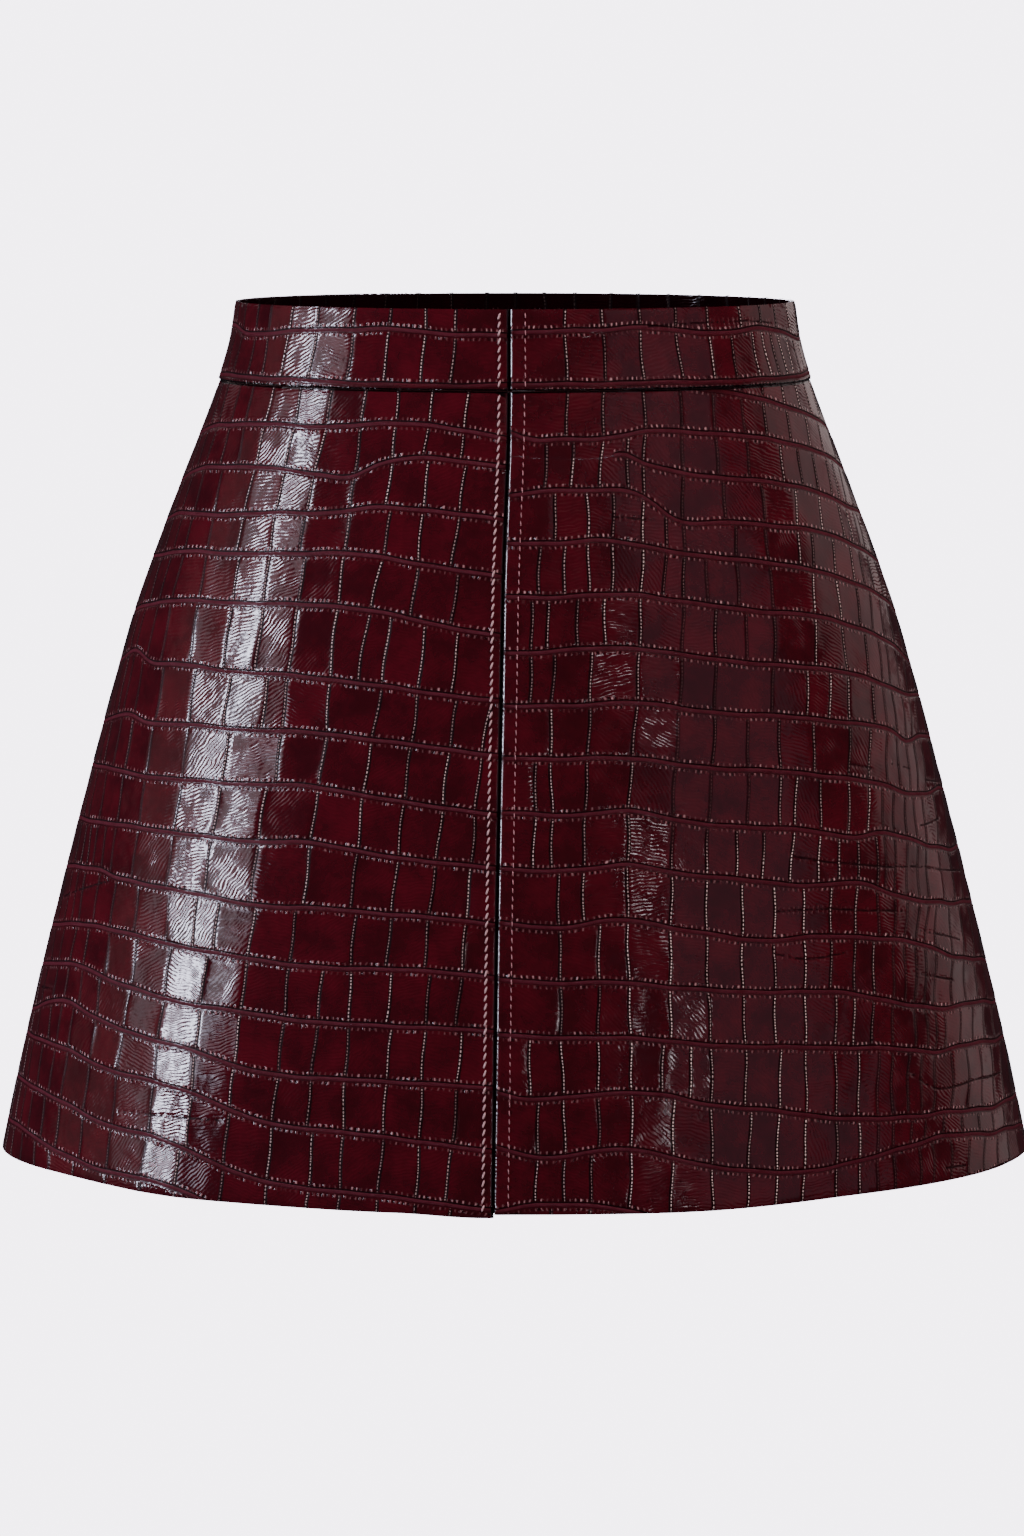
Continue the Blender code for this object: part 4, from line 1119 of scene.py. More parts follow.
def add(tree, kind, inputs=None, **settings):
    """A node with its settings. An input is a value, a socket, or a node for its first result."""
    made = tree.nodes.new(kind)
    for name, value in settings.items():
        setattr(made, name, value)
    for name, value in (inputs or {}).items():
        if isinstance(value, bpy.types.Node):
            value = next(socket for socket in value.outputs if socket.enabled)
        if isinstance(value, bpy.types.NodeSocket):
            tree.links.new(value, made.inputs[name])
        else:
            made.inputs[name].default_value = value
    return made


def new_finish(name):
    """An empty material, and the tree that its nodes go in."""
    made = bpy.data.materials.new(name)
    made.use_nodes = True
    made.node_tree.nodes.clear()
    return made, made.node_tree


MATH, RANGE, MIX = "ShaderNodeMath", "ShaderNodeMapRange", "ShaderNodeMix"
NOISE, SHADER, OUTPUT = "ShaderNodeTexNoise", "ShaderNodeBsdfPrincipled", "ShaderNodeOutputMaterial"
print("middle grey in linear light:", round(colour("#808080")[0], 3))

# %% Where the glazed calf changes
SCALE_DARK, SCALE_LIGHT = "#320810", "#4b0c17"
# The near-black groove colour is painted shade in the grooves and pits.
CORD_AND_SHEEN_COLOUR, GROOVE_SHADE_COLOUR = "#4f1a26", "#0a0103"
# The pale bead and tooth colours are painted highlight, and the near-black seam colour painted shadow.
BEAD_HIGHLIGHT_COLOUR, TOOTH_HIGHLIGHT_COLOUR, SEAM_SHADOW_COLOUR = "#f2d0ce", "#bd8c90", "#030001"
TOOTH_PITCH, BEAD_PITCH, WRINKLE_PITCH = 2.6, 1.6, 1.7  # millimetres
MARKS = ["hide_along", "hide_down", "row_edge", "above_cord", "column_edge", "column_side",
         "extra_edge", "strength", "tone", "from_seam"]
# Each line of the print has four masks by the distance from it, in millimetres.
MASKS = {
    # the cord, the painted shade beside it, the teeth of the plate, and where all three have ended
    "row_edge": [(0, (1, 0, 0, 0)), (0.65, (1, 0, 0, 0)), (0.9, (0, 1, 0, 0)), (1.4, (0, 1, 0, 0)),
                 (1.65, (0, 0, 1, 0.5)), (2.5, (0, 0, 1, 1)), (3.1, (0, 0, 0, 1))],
    # the beads, whose lit side is painted highlight, the painted shade beside them, nothing, and where
    # both have ended
    "column_edge": [(0, (1, 0, 0, 0)), (0.4, (1, 0, 0, 0)), (0.5, (0, 1, 0, 0)),
                    (0.8, (0, 1, 0, 0.2)), (1.1, (0, 0, 0, 0.5)), (1.6, (0, 0, 0, 1))],
    # nothing, the painted shade of the line, the teeth, and where both have ended
    "extra_edge": [(0, (0, 1, 0, 0)), (0.4, (0, 0.8, 0, 0)), (0.75, (0, 0, 0.1, 0)),
                   (1.0, (0, 0, 0.25, 0)), (1.7, (0, 0, 0.1, 0)), (2.2, (0, 0, 0, 1))],
}

glazed, t = new_finish("glazed_embossed_calf")
mark = {name: add(t, "ShaderNodeAttribute", attribute_name=name).outputs["Fac"] for name in MARKS}
mask = {}
for name, stops in MASKS.items():
    ramp = add(t, "ShaderNodeValToRGB", {"Fac": mark[name]})
    for _ in stops[2:]:
        ramp.color_ramp.elements.new(1)
    for element, (place, masks) in zip(ramp.color_ramp.elements, stops, strict=True):
        element.position = place / EDGE_SPAN
        element.color = masks
    parts = add(t, "ShaderNodeSeparateColor", {"Color": ramp.outputs["Color"]}).outputs
    mask[name] = (parts["Red"], parts["Green"], parts["Blue"], ramp.outputs["Alpha"])
cord, row_groove, row_teeth, off_rows = mask["row_edge"]
bead_line, column_groove, _, off_columns = mask["column_edge"]
_, extra_groove, extra_teeth, _ = mask["extra_edge"]
place = add(t, "ShaderNodeCombineXYZ", {"X": mark["hide_along"], "Y": mark["hide_down"]})
print("marks on the leather:", len(mark), "lines of masks:", len(mask))

# %% [markdown]
# The plate has small teeth along both sides of a cord. They leave upright nicks with pits between
# them, about two and a half millimetres apart and never regular. The nicks are painted pale, which
# is painted highlight on their rims, and are fainter below a cord than above it. The pits are
# painted dark, which is painted shade. Along each fine groove runs a row of beads: one side of the
# groove, the right as the hide lies, is painted pale as painted highlight, and the other dark as
# painted shade. A sine wave whose phase is pushed about by noise spaces them by hand, as it were,
# where a plain stripe would look ruled.

# %% Teeth and beads
stray = add(t, NOISE, {"Vector": place, "Scale": 0.08, "Detail": 2.0})
uneven = add(t, NOISE, {"Vector": place, "Scale": 0.21, "Detail": 1.0})
waves = []
for way, pitch, push in (("hide_along", TOOTH_PITCH, 5.0), ("hide_down", BEAD_PITCH, 5.0)):
    phase = add(t, MATH, {0: stray, 1: push, 2: mark[way]}, operation="MULTIPLY_ADD")
    turns = add(t, MATH, {0: phase, 1: 2 * math.pi / pitch}, operation="MULTIPLY")
    waves.append(add(t, MATH, {0: turns}, operation="SINE"))
room = add(t, MATH, {0: row_teeth, 1: extra_teeth}, operation="MAXIMUM")
for share in (off_columns, add(t, RANGE, {0: uneven, 1: 0.42, 2: 0.66, 3: 0.1, 4: 1.0})):
    room = add(t, MATH, {0: room, 1: share}, operation="MULTIPLY")
high = add(t, RANGE, {0: waves[0], 1: 0.4, 2: 0.95}, interpolation_type="SMOOTHSTEP")
low = add(t, RANGE, {0: waves[0], 1: -0.1, 2: -0.8}, interpolation_type="SMOOTHSTEP")
above = add(t, RANGE, {0: mark["above_cord"], 3: 0.5, 4: 1.0})
# The nicks are painted pale: painted highlight on their rims, fainter below a cord than above it.
nicks_and_highlight = add(t, MATH, {0: room, 1: high}, operation="MULTIPLY")
nicks_and_highlight = add(t, MATH, {0: nicks_and_highlight, 1: above}, operation="MULTIPLY")
# The pits between the teeth are painted dark: painted shade in them.
pits_and_shade = add(t, MATH, {0: room, 1: low}, operation="MULTIPLY")

# One side of each fine groove, the right as the hide lies, is painted pale as painted highlight; the
# unlit side joins the painted shade.
one_side = add(t, RANGE, {0: mark["column_side"], 1: -0.2, 2: 0.2})
broken = add(t, RANGE, {0: waves[1], 1: -0.6, 2: 0.4})
lit = add(t, MATH, {0: one_side, 1: broken}, operation="MULTIPLY")
unlit = add(t, MATH, {0: 1.0, 1: lit}, operation="SUBTRACT")
beads_and_highlight = add(t, MATH, {0: bead_line, 1: lit}, operation="MULTIPLY")
fine_groove_and_shade = add(t, MATH, {0: bead_line, 1: unlit, 2: column_groove}, operation="MULTIPLY_ADD")
# The painted bead highlight grows with how hard a column is pressed, and the painted shade beside it
# fades where it is pressed softly.
strong = add(t, RANGE, {0: mark["strength"], 1: 0.3, 2: 1.2, 3: 0.05, 4: 1.0})
plain = add(t, RANGE, {0: mark["strength"], 1: 0.0, 2: 0.4, 3: 0.5, 4: 1.0})
for share in (off_rows, strong):
    beads_and_highlight = add(t, MATH, {0: beads_and_highlight, 1: share}, operation="MULTIPLY")
for share in (off_rows, plain):
    fine_groove_and_shade = add(t, MATH, {0: fine_groove_and_shade, 1: share}, operation="MULTIPLY")
# The line beside a cord, darker above it than below, the unlit side of each fine groove and the short
# lines are painted near black: painted shade.
groove_and_shade = add(t, MATH, {0: row_groove, 1: above}, operation="MULTIPLY")
for other in (fine_groove_and_shade, extra_groove):
    groove_and_shade = add(t, MATH, {0: groove_and_shade, 1: other}, operation="MAXIMUM")
# The paler cord is partly the rubbed finish and partly painted sheen; it fades near a seam, where the
# painted shadow takes over.
rubbed_and_sheen = add(t, RANGE, {0: uneven, 1: 0.3, 2: 0.6, 3: 0.55, 4: 1.0})
rubbed_and_sheen = add(t, MATH, {0: cord, 1: rubbed_and_sheen}, operation="MULTIPLY")
off_seam = add(t, RANGE, {0: mark["from_seam"], 1: 2.2, 2: 4.2})
rubbed_and_sheen = add(t, MATH, {0: rubbed_and_sheen, 1: off_seam}, operation="MULTIPLY")
print("nodes with the teeth and beads:", len(t.nodes))

# %% [markdown]
# Under the plate the grain of the calf folds into fine wrinkles, like a fingerprint, not quite two
# millimetres apart. They are too low to see by themselves and only show where a lamp is mirrored.
# Each scale has its own direction and its own share of them, because each is pressed by itself.

# %% Wrinkles and broad unevenness
turn = add(t, RANGE, {0: mark["tone"], 3: 0.5, 4: 1.9})
turned = add(t, "ShaderNodeVectorRotate", {"Vector": place, "Angle": turn}, rotation_type="Z_AXIS")
wrinkles = add(t, "ShaderNodeTexWave", {
    "Vector": turned, "Scale": math.pi / 10 / WRINKLE_PITCH, "Distortion": 9.0, "Detail": 1.5,
    "Detail Scale": 0.6, "Detail Roughness": 0.5})
share = add(t, NOISE, {"Vector": place, "Scale": 0.05, "Detail": 2.0})
share = add(t, MATH, {0: mark["tone"], 1: 0.25, 2: share}, operation="MULTIPLY_ADD")
share = add(t, RANGE, {0: share, 1: 0.45, 2: 0.7, 3: 0.3, 4: 1.0}, interpolation_type="SMOOTHSTEP")
wrinkles = add(t, MATH, {0: wrinkles.outputs["Fac"], 1: share}, operation="MULTIPLY")
grain = add(t, NOISE, {"Vector": place, "Scale": 0.3, "Detail": 4.0, "Distortion": 0.8})
broad = add(t, NOISE, {"Vector": place, "Scale": 0.05, "Detail": 3.0})
dents = add(t, NOISE, {"Vector": place, "Scale": 0.13, "Detail": 1.5, "Distortion": 0.5})
# Near a seam the colour goes near black: painted shadow in the seam's gap and under the proud waistband.
seam_shadow = add(t, RANGE, {0: mark["from_seam"], 1: 1.5, 2: 1.1})
print("nodes with the wrinkles:", len(t.nodes))

# %% The glazed calf itself
shade = add(t, MATH, {0: mark["tone"], 1: 0.12, 2: broad}, operation="MULTIPLY_ADD")
shade = add(t, MATH, {0: grain, 1: 0.4, 2: shade}, operation="MULTIPLY_ADD")
shade = add(t, RANGE, {0: shade, 1: 0.5, 2: 1.05}, interpolation_type="SMOOTHSTEP")
paint = add(t, MIX, {0: shade, 6: colour(SCALE_DARK), 7: colour(SCALE_LIGHT)}, data_type="RGBA")
# Painted shade in the grooves and pits, painted highlight on the nicks and beads, painted shadow at the
# seams, and partly painted sheen on the cords.
for over, most, code in (
    (rubbed_and_sheen, 1.0, CORD_AND_SHEEN_COLOUR), (groove_and_shade, 0.9, GROOVE_SHADE_COLOUR), (pits_and_shade, 0.85, GROOVE_SHADE_COLOUR),
    (nicks_and_highlight, 0.85, TOOTH_HIGHLIGHT_COLOUR), (beads_and_highlight, 0.95, BEAD_HIGHLIGHT_COLOUR), (seam_shadow, 0.97, SEAM_SHADOW_COLOUR),
):
    share = add(t, MATH, {0: over, 1: most}, operation="MULTIPLY")
    paint = add(t, MIX, {0: share, 6: paint, 7: colour(code)}, data_type="RGBA")

up = 0.0
for over, height in (  # in millimetres
    (nicks_and_highlight, 0.16), (pits_and_shade, -0.16), (beads_and_highlight, 0.05), (wrinkles, 0.065), (grain, 0.03), (broad, 0.22),
    (dents, 0.15),
):
    up = add(t, MATH, {0: over, 1: height, 2: up}, operation="MULTIPLY_ADD")
bump = add(t, "ShaderNodeBump", {"Height": up, "Distance": MM, "Strength": 1.0})

polish = add(t, NOISE, {"Vector": place, "Scale": 0.12, "Detail": 4.0})
rough = add(t, RANGE, {0: polish, 1: 0.3, 2: 0.7, 3: 0.09, 4: 0.15})
dull = add(t, MATH, {0: cord, 1: groove_and_shade}, operation="MAXIMUM")
rough = add(t, MATH, {0: dull, 1: 0.5, 2: rough}, operation="MULTIPLY_ADD")
coat = add(t, MATH, {0: dull, 1: -0.95, 2: 1.0}, operation="MULTIPLY_ADD")
face = add(t, SHADER, {"Base Color": paint, "Roughness": rough, "Normal": bump, "IOR": 1.5,
                       "Specular IOR Level": 0.15, "Coat Weight": coat, "Coat Roughness": 0.12,
                       "Coat Normal": bump})
add(t, OUTPUT, {"Surface": face})
print("nodes in the glazed calf:", len(t.nodes))

# %% [markdown]
# The flesh side of the hide is never glazed. It is brushed to a short nap, which scatters the light,
# so it looks flat and dark. The waistband is faced with the same printed calf, painted nearly black,
# which is painted shade inside the band.

# %% The flesh side and the dark facing
FLESH_DARK, FLESH_LIGHT, FACING_SHADE_COLOUR = "#2a1013", "#43191f", "#0a0204"
FACING_PAINTED_SHADE, FACING_COAT = 0.93, 0.1  # how far the painted shade hides the print's colour, and how thin its coat is
flesh, t = new_finish("brushed_flesh_side")
place = add(t, "ShaderNodeTexCoord").outputs["Object"]
nap = add(t, NOISE, {"Vector": place, "Scale": 900.0, "Detail": 3.0})
patches = add(t, NOISE, {"Vector": place, "Scale": 35.0, "Detail": 3.0})
paint = add(t, MIX, {0: patches, 6: colour(FLESH_DARK), 7: colour(FLESH_LIGHT)}, data_type="RGBA")
bump = add(t, "ShaderNodeBump", {"Height": nap, "Distance": 0.3 * MM})
face = add(t, SHADER, {"Base Color": paint, "Roughness": 0.9, "Sheen Weight": 0.15, "Normal": bump})
add(t, OUTPUT, {"Surface": face})

facing = glazed.copy()
facing.name = "dark_facing_calf"
t = facing.node_tree
face = next(node for node in t.nodes if node.bl_idname == SHADER)
paint = face.inputs["Base Color"].links[0].from_socket
# The facing's colour is mixed almost all the way to near black: painted shade inside the band.
paint = add(t, MIX, {0: FACING_PAINTED_SHADE, 6: paint, 7: colour(FACING_SHADE_COLOUR)}, data_type="RGBA")
t.links.new(paint.outputs["Result"], face.inputs["Base Color"])
t.links.remove(face.inputs["Coat Weight"].links[0])
face.inputs["Coat Weight"].default_value = FACING_COAT
print("nodes in the flesh side and the facing:", len(flesh.node_tree.nodes), len(t.nodes))

# %% [markdown]
# The thread is bonded polyester, twisted from three plies and waxed, paler than the leather. The
# near-white that the twist noise mixes into it is partly its own pale plies and partly painted
# highlight. The strands inside the seams are the same thread, coloured near black: painted shade in the
# gaps.

# %% The threads
threads = []
# The light colour of each thread, mixed in by the twist noise, is partly the thread's pale plies and
# partly painted highlight.
for name, dark, light in (("bonded_thread", "#86454f", "#e8c6c8"),
                          ("bonded_thread_fine", "#8c4a55", "#d8a0a6"),
                          ("bonded_thread_dark", "#060102", "#0c0305")):
    finish, t = new_finish(name)
    place = add(t, "ShaderNodeTexCoord").outputs["Object"]
    twist = add(t, NOISE, {"Vector": place, "Scale": 2500.0, "Detail": 2.0})
    paint = add(t, MIX, {0: twist, 6: colour(dark), 7: colour(light)}, data_type="RGBA")
    bump = add(t, "ShaderNodeBump", {"Height": twist, "Distance": 0.1 * MM})
    face = add(t, SHADER, {"Base Color": paint, "Roughness": 0.45, "Normal": bump})
    add(t, OUTPUT, {"Surface": face})
    threads.append(finish)
heavy_thread, fine_thread, seam_thread = threads
print("finishes:", glazed.name, flesh.name, facing.name, [finish.name for finish in threads])

# %% [markdown]
# Now the six pieces. Each face gets its printed hide, its wall and its finish, and replaces the solid
# of the same name, which is hidden. The size that it shows is printed.

# %% Where the print is uneven
# How hard the columns are pressed between two places along the hide and two down it. The same factor
# sets how bright the painted bead highlight is there, and how dark the painted shade beside a fine
# groove.
Area = namedtuple("Area", "left right top bottom factor")
PRESSED = {
    "front_right_panel": [Area(52, 152, -50, 500, 0.4), Area(162, 300, -50, 500, 0.8)],
    "front_left_panel": [Area(70, 125, -50, 215, 0.4), Area(60, 150, 205, 400, 2.0),
                         Area(185, 300, -50, 500, 0.3)],
    "waistband_front_right": [Area(120, 300, -50, 500, 0.4)],
}
# Where the cord of a row has not taken: its line's index, and between which two places.
Gap = namedtuple("Gap", "line left right")
MISSING = {"front_left_panel": [Gap(4, -20, 46)]}
# The short lines within scales, each as distance along: distance down.
EXTRA_LINES = {
    "front_left_panel": [
        {47: 56.4, 62: 56.4}, {166: 160, 180: 160}, {191: 155.5, 208: 156}, {223: 158.6, 263: 154.3},
        {211: 183.5, 222: 180, 233: 176},
        {134: 207, 150: 208, 172: 207, 190: 206, 206: 203.6, 232: 201.4, 260: 197},
        {127: 234, 141: 232, 156: 230, 172: 229, 190: 227, 200: 226}, {211: 234, 243: 234},
        {127: 254, 143: 255, 165: 250}, {211: 255, 234: 255},
        {203: 303, 220: 309, 234: 306.5, 249: 301.5, 263: 298.5, 277: 294.5}, {227: 347, 241: 344},
    ],
    "front_right_panel": [{100: 233, 143: 241}, {136: 286, 153: 285}, {15: 343, 75: 343}],
    "waistband_front_left": [{66: 8.3, 100: 7, 120: 7, 140: 8.5}],
}
print("short lines within scales:", {name: len(lines) for name, lines in EXTRA_LINES.items()})

# %% The size that a piece is cut to
HEM_ALLOWANCE, SEAM_ALLOWANCE = 25.0, 10.0


def cut_size(pattern, seam=0.0, hem=0.0):
    """The width, length and area of the flat piece, with allowances beyond what shows if asked."""
    if not pattern.piece.curved:
        wide, tall = pattern.bottom + 2 * seam, pattern.fall + 2 * seam
        return wide, tall, wide * tall
    area = (pattern.top + pattern.bottom) / 2 * pattern.fall * SLANT
    area += 2 * seam * pattern.fall * SLANT + hem * pattern.bottom + seam * pattern.top
    out = pattern.radius + pattern.fall * SLANT + hem
    wide = 2 * out * math.sin(pattern.sector / 2) + 2 * seam
    tall = out - (pattern.radius - seam) * math.cos(pattern.sector / 2)
    return wide, tall, area


for name, pattern in patterns.items():
    whole = [round(size) for size in cut_size(pattern, SEAM_ALLOWANCE, HEM_ALLOWANCE)]
    print(name, "cut with its allowances: width and length in mm, area in mm2", whole)

# %% The panels and the waistband
for piece in PIECES:
    pattern = patterns[piece.name]
    uneven = [table.get(piece.name, ()) for table in (PRESSED, EXTRA_LINES, MISSING)]
    hide = Hide(pattern, *uneven)
    wall = leather_wall(hide, glazed, flesh if piece.curved else facing)
    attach(wall, "root")
    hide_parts(piece.name)
    wide, tall, area = cut_size(pattern)
    print(piece.name, "shows", round(wide), "x", round(tall), "mm")

# %% [markdown]
# A row of topstitching holds each folded front edge down. On one side the thread is heavy and lies
# as a chain of slanting stitches, like a rope; on the other it is fine and lies as short dashes. A
# texture can't stand up from the leather and catch the light, so every stitch is a small capsule of
# thread that follows the panel, with its ends sunk into the holes.

# %% The rows of stitches
Thread = namedtuple("Thread", "length radius slant sink finish")
ROPE = Thread(length=3.3, radius=0.5, slant=0.5, sink=0.1, finish=heavy_thread)
DASH = Thread(length=2.6, radius=0.24, slant=0.12, sink=0.05, finish=fine_thread)
# Each row lies this far from the folded edge at the top and at the bottom of its piece.
Stitching = namedtuple("Stitching", "name piece top bottom thread")
STITCHINGS = [
    Stitching("rope_stitch_right_panel", "front_right_panel", 4.9, 5.0, ROPE),
    Stitching("rope_stitch_right_band", "waistband_front_right", 4.8, 4.8, ROPE),
    Stitching("dash_stitch_left_panel", "front_left_panel", 6.5, 6.3, DASH),
    Stitching("dash_stitch_left_band", "waistband_front_left", 6.8, 6.8, DASH),
]
STITCH_PITCH, FIRST_STITCH, LAST_STITCH = 3.85, 1.6, 1.0  # the last two: room at the row's ends
SIDES, STITCH_RINGS, STITCH_FLAT = 7, 6, 0.8  # of a stitch, and how flat it is pressed
ARCH = 0.55  # how high its middle stands, as a share of its radius
STRAY, UNEVEN_SIZE, UNEVEN_PITCH = 0.08, 0.08, 0.03  # millimetres to the side, and two shares
print("rows of stitches:", [row.name for row in STITCHINGS])

# %% Topstitching down the centre front


def capsule(path, side, up, radius):
    """A closed tube round a path that narrows to nothing at both ends."""
    points = []
    for k in range(len(path)):
        t = 2 * k / (len(path) - 1) - 1
        r = radius * math.sqrt(max(1 - t**4, 0.02))
        for n in range(SIDES):
            turn = 2 * math.pi * n / SIDES
            points.append(path[k] + side[k] * r * math.cos(turn)
                          + up[k] * r * STITCH_FLAT * math.sin(turn))
    return points, tube_faces(len(path), SIDES)


def stitch(row, drop, rng):
    """One stitch of a row, that starts drop millimetres along the leather from the top edge."""
    pattern, thread = patterns[row.piece], row.thread
    ts = np.linspace(0, 1, STITCH_RINGS)
    down = (drop + ts * thread.length) / (SLANT if pattern.piece.curved else 1)
    out = row.top + (row.bottom - row.top) * down / pattern.fall + thread.slant * (2 * ts - 1)
    out = out + rng.uniform(-STRAY, STRAY)
    length = pattern.stretch.length(pattern.piece.top - down)
    flat = np.stack([out / length * pattern.mean, -down], -1)
    arch = thread.radius * ARCH * (1 - (2 * ts - 1) ** 4) - thread.sink
    lift = arch + (0 if pattern.piece.curved else BAND_PROUD)
    path = on_body(pattern, flat, lift)
    side = on_body(pattern, flat + np.array([0.01, 0]), lift) - path
    side /= np.linalg.norm(side, axis=1, keepdims=True)
    up = np.cross(side, np.gradient(path, axis=0))
    up /= np.linalg.norm(up, axis=1, keepdims=True)
    return capsule(path, side, up, thread.radius * rng.uniform(1 - UNEVEN_SIZE, 1 + UNEVEN_SIZE))


for row in STITCHINGS:
    rng = random.Random(row.name)
    stitches, drop = [], FIRST_STITCH
    while drop + row.thread.length < patterns[row.piece].fall * SLANT - LAST_STITCH:
        stitches.append(stitch(row, drop, rng))
        drop += STITCH_PITCH * rng.uniform(1 - UNEVEN_PITCH, 1 + UNEVEN_PITCH)
    sewn = mesh_object(row.name, *joined(stitches), row.thread.finish)
    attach(sewn, "root")
    print(row.name, "stitches", len(stitches))

# %% [markdown]
# The allowances of two pieces are sewn together behind their edges, so no daylight shows through a
# seam. A thin strand in the narrow gap of each seam stands for that joint. It is coloured near
# black, which is painted shade in the gap.

# %% The strands that close the seams
STRAND = [(-0.2, -1.1), (0.2, -1.1), (0.2, -1.9), (-0.2, -1.9)]  # its corners: round, outwards
UPRIGHT = np.linspace(0.4, patterns["back_panel"].fall - 0.8, 60)
SHORT = np.linspace(0.6, patterns["waistband_back"].fall - 0.1, 12)
SEAMS = [
    ("front_left_panel", 0, UPRIGHT), ("back_panel", 0, UPRIGHT), ("back_panel", 1, UPRIGHT),
    ("waistband_front_left", 0, SHORT), ("waistband_back", 0, SHORT), ("waistband_back", 1, SHORT),
]


def strand(name, across, drops):
    """A closed strip along an upright edge of a piece, sunk below its face."""
    pattern = patterns[name]
    height = pattern.piece.top - drops
    angle = pattern.stretch.angle(np.full(len(drops), float(across)), height)
    outside = SEAM_GAP / 2 * (1 if across else -1)
    middle = tube_point(angle, height)
    around = tube_point(angle + 0.001, height) - middle
    around /= np.linalg.norm(around, axis=1, keepdims=True)
    normal = tube_normal(angle, height)
    rings = [middle + around * (outside + side) + normal * deep for side, deep in STRAND]
    return np.stack(rings, 1).reshape(-1, 3), tube_faces(len(drops), len(STRAND))


strands = joined([strand(*seam) for seam in SEAMS])
# The strands are near black: painted shade in the gaps of the seams.
sewn = mesh_object("seam_thread", *strands, seam_thread, rounded=False)
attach(sewn, "root")

# %% [markdown]
# The skirt is shown as if worn, with nothing round it. A pale bowl stands in for the floor and the
# paper behind: it glows evenly by itself, so it has no corner, no shadow and no horizon from any
# side, and it takes no part in lighting the leather.

# %% The pale floor and backdrop
FLOOR, RADIUS, BEND, RIM = -550.0, 9000.0, 3000.0, 7000.0  # its height and sizes, in millimetres
POINTS_ROUND, BEND_RINGS = 96, 13
paper, t = new_finish("pale_seamless_paper")
glow = add(t, "ShaderNodeEmission", {"Color": (1.0, 0.93, 1.05, 1), "Strength": 5.3})
add(t, OUTPUT, {"Surface": glow})
bent = np.radians(np.linspace(0, 90, BEND_RINGS))
out = np.append(RADIUS - BEND + BEND * np.sin(bent), RADIUS)
up = np.append(BEND - BEND * np.cos(bent), RIM)
around = 2 * np.pi * np.arange(POINTS_ROUND) / POINTS_ROUND
rings = [np.outer(out, np.cos(around)), np.outer(out, np.sin(around)),
         np.outer(FLOOR + up, np.ones(POINTS_ROUND))]
faces = [list(range(POINTS_ROUND)), *ring_faces(len(out), POINTS_ROUND)]
bowl = mesh_object("paper_bowl", np.stack(rings, -1).reshape(-1, 3), faces, paper, rounded=False)
for rays in ("glossy", "diffuse", "transmission", "shadow"):
    setattr(bowl, "visible_" + rays, False)

# %% [markdown]
# Glazed leather shows its lights more than its colour. A tall, narrow softbox stands well to one
# side and lays one bright column over the front, in blocks, since each scale is a small flat mirror.
# Dimmer cards on both sides of it and below it give the column faded edges and a foot, and a small
# card puts a gleam low on the front. Wide dim panels fill the flanks, and three lights behind trace
# the outline. Three soft lights in front, at the side and at the back bring out the burgundy. They
# are too large to show as a shape in the shine, so they are left out of the reflections.

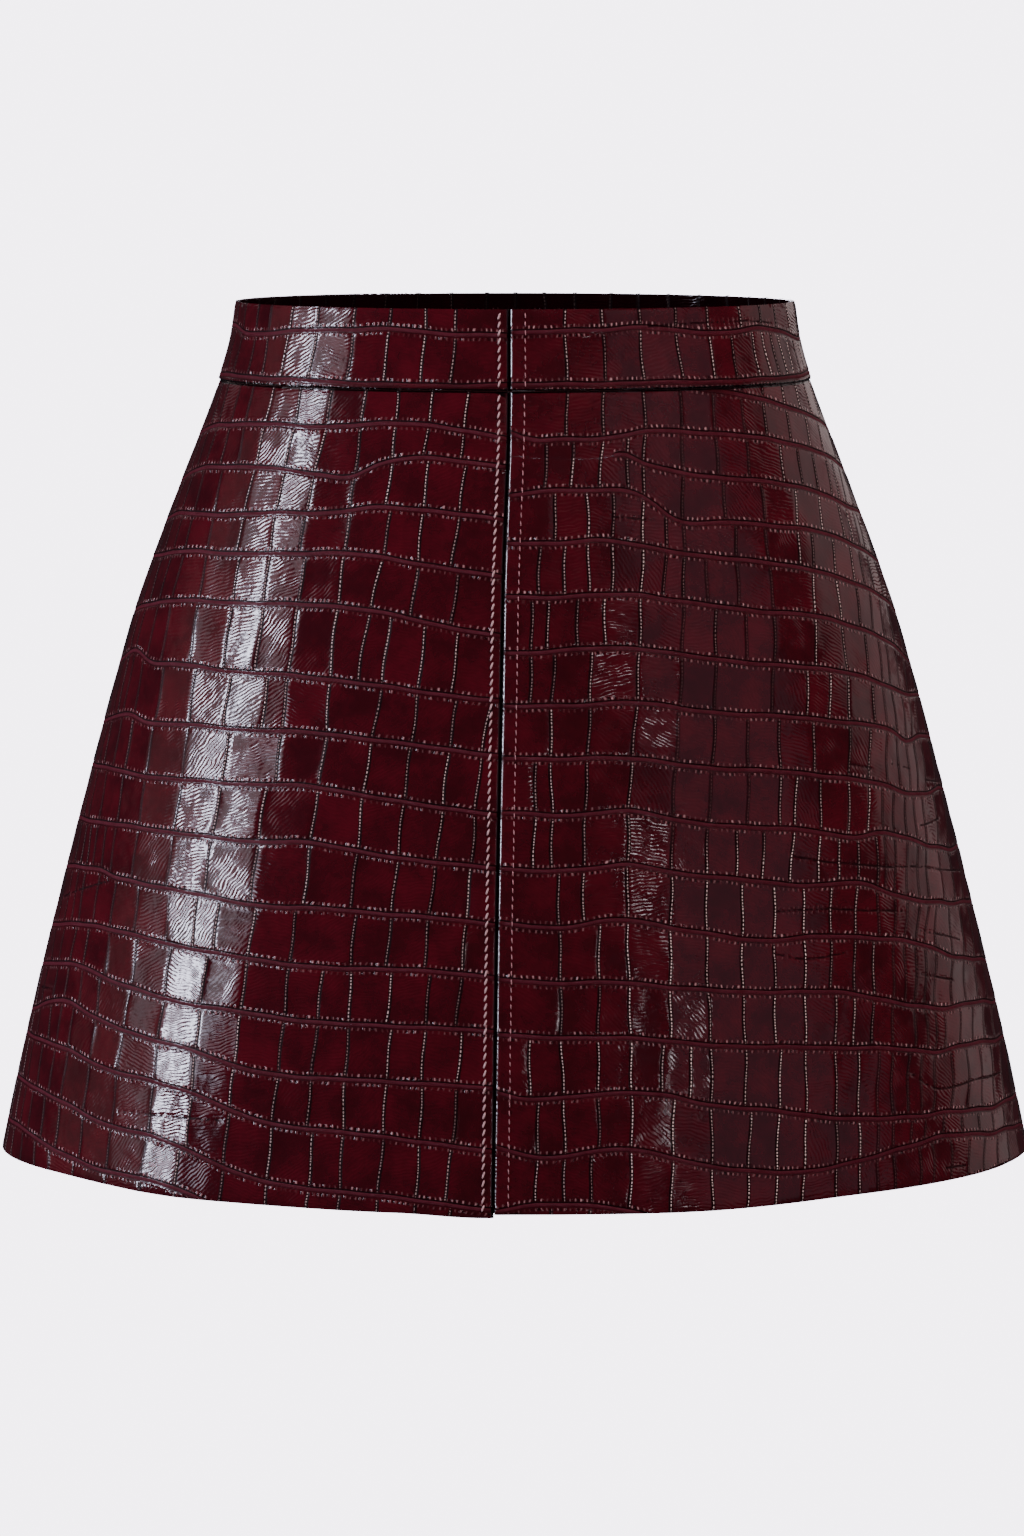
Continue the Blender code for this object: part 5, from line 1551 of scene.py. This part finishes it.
# %% The lights
Light = namedtuple("Light", "name azimuth elevation distance wide tall watts tint mirrored")
LIGHTS = [
    Light("tall_strip", -70.0, 11, 2.2, 0.15, 1.5, 33, "#e6e8ff", True),
    Light("strip_fade", -61, 12, 2.2, 0.34, 1.3, 2.0, "#f2e8f0", True),
    Light("strip_foot", -59, -2.5, 2.2, 0.4, 0.22, 1.4, "#e6e8ff", True),
    Light("strip_edge", -79, 10, 2.25, 0.36, 1.6, 1.8, "#f2e8f0", True),
    Light("left_wall", -91, 10, 2.6, 0.7, 2.4, 0.9, "#ffd0cc", True),
    Light("right_wall", 47, 10, 3.0, 2.1, 3.0, 3.4, "#ecebff", True),
    Light("right_far", 108, 10, 3.0, 2.0, 2.6, 7.5, "#f6e4e2", True),
    Light("low_card", 22, -4.0, 2.3, 0.10, 0.14, 0.9, "#f6eef4", True),
    Light("rear_left", -140, 26, 2.6, 1.0, 1.0, 0.8, "#f6f0f2", True),
    Light("rear_right", 148, 14, 2.6, 1.5, 0.8, 2.0, "#f6e4e2", True),
    Light("rear_strip", 178, 22, 2.4, 0.3, 0.8, 9, "#f2ecfa", True),
    Light("front_fill", 34, 36, 2.8, 2.2, 1.4, 76, "#fff6f2", False),
    Light("left_fill", -88, 16, 2.6, 1.6, 1.6, 34, "#fff0f0", False),
    Light("rear_fill", 176, 34, 2.8, 2.2, 1.4, 70, "#fff6f2", False),
]
AIM = Vector((0, 0, -0.19))
AIR_COLOUR, AIR_STRENGTH = "#c8ccd8", 0.03  # of the faint light from everywhere


def from_angles(azimuth, elevation, distance):
    """A place round the skirt: azimuth from the front, positive to the right."""
    a, e = math.radians(azimuth), math.radians(elevation)
    away = Vector((math.cos(e) * math.sin(a), -math.cos(e) * math.cos(a), math.sin(e)))
    return AIM + distance * away


for light in LIGHTS:
    data = bpy.data.lights.new(light.name, "AREA")
    data.shape = "RECTANGLE"
    data.size, data.size_y = light.wide, light.tall
    data.energy = light.watts
    data.color = colour(light.tint)[:3]
    lamp = new_object(light.name, data)
    lamp.location = from_angles(light.azimuth, light.elevation, light.distance)
    lamp.rotation_euler = (AIM - lamp.location).to_track_quat("-Z", "Y").to_euler()
    lamp.visible_glossy = light.mirrored

world = bpy.data.worlds.new("studio_air")
bpy.context.scene.world = world
world.use_nodes = True
air = world.node_tree.nodes["Background"].inputs
air["Color"].default_value = colour(AIR_COLOUR)
air["Strength"].default_value = AIR_STRENGTH
print("lights:", [light.name for light in LIGHTS])

# %% [markdown]
# A long lens from just above the waist keeps the sides of the skirt straight, as a shop picture
# does. The lens is 112 mm on a frame 36 mm high, about 2.3 m away, tipped down by 8 degrees.

# %% The camera
FOCAL_LENGTH, FRAME_HEIGHT = 4784, 1536  # both in pixels
TIPPED = 8.014  # degrees below level
data = bpy.data.cameras.new("camera")
data.sensor_fit = "VERTICAL"
data.sensor_height = 36.0
data.lens = FOCAL_LENGTH * data.sensor_height / FRAME_HEIGHT
camera = new_object("camera", data)
camera.location = (-0.0014, -2.294, 0.116)
camera.rotation_euler = (math.radians(90 - TIPPED), 0, 0)
bpy.context.scene.camera = camera
print("lens:", round(data.lens, 1), "mm")
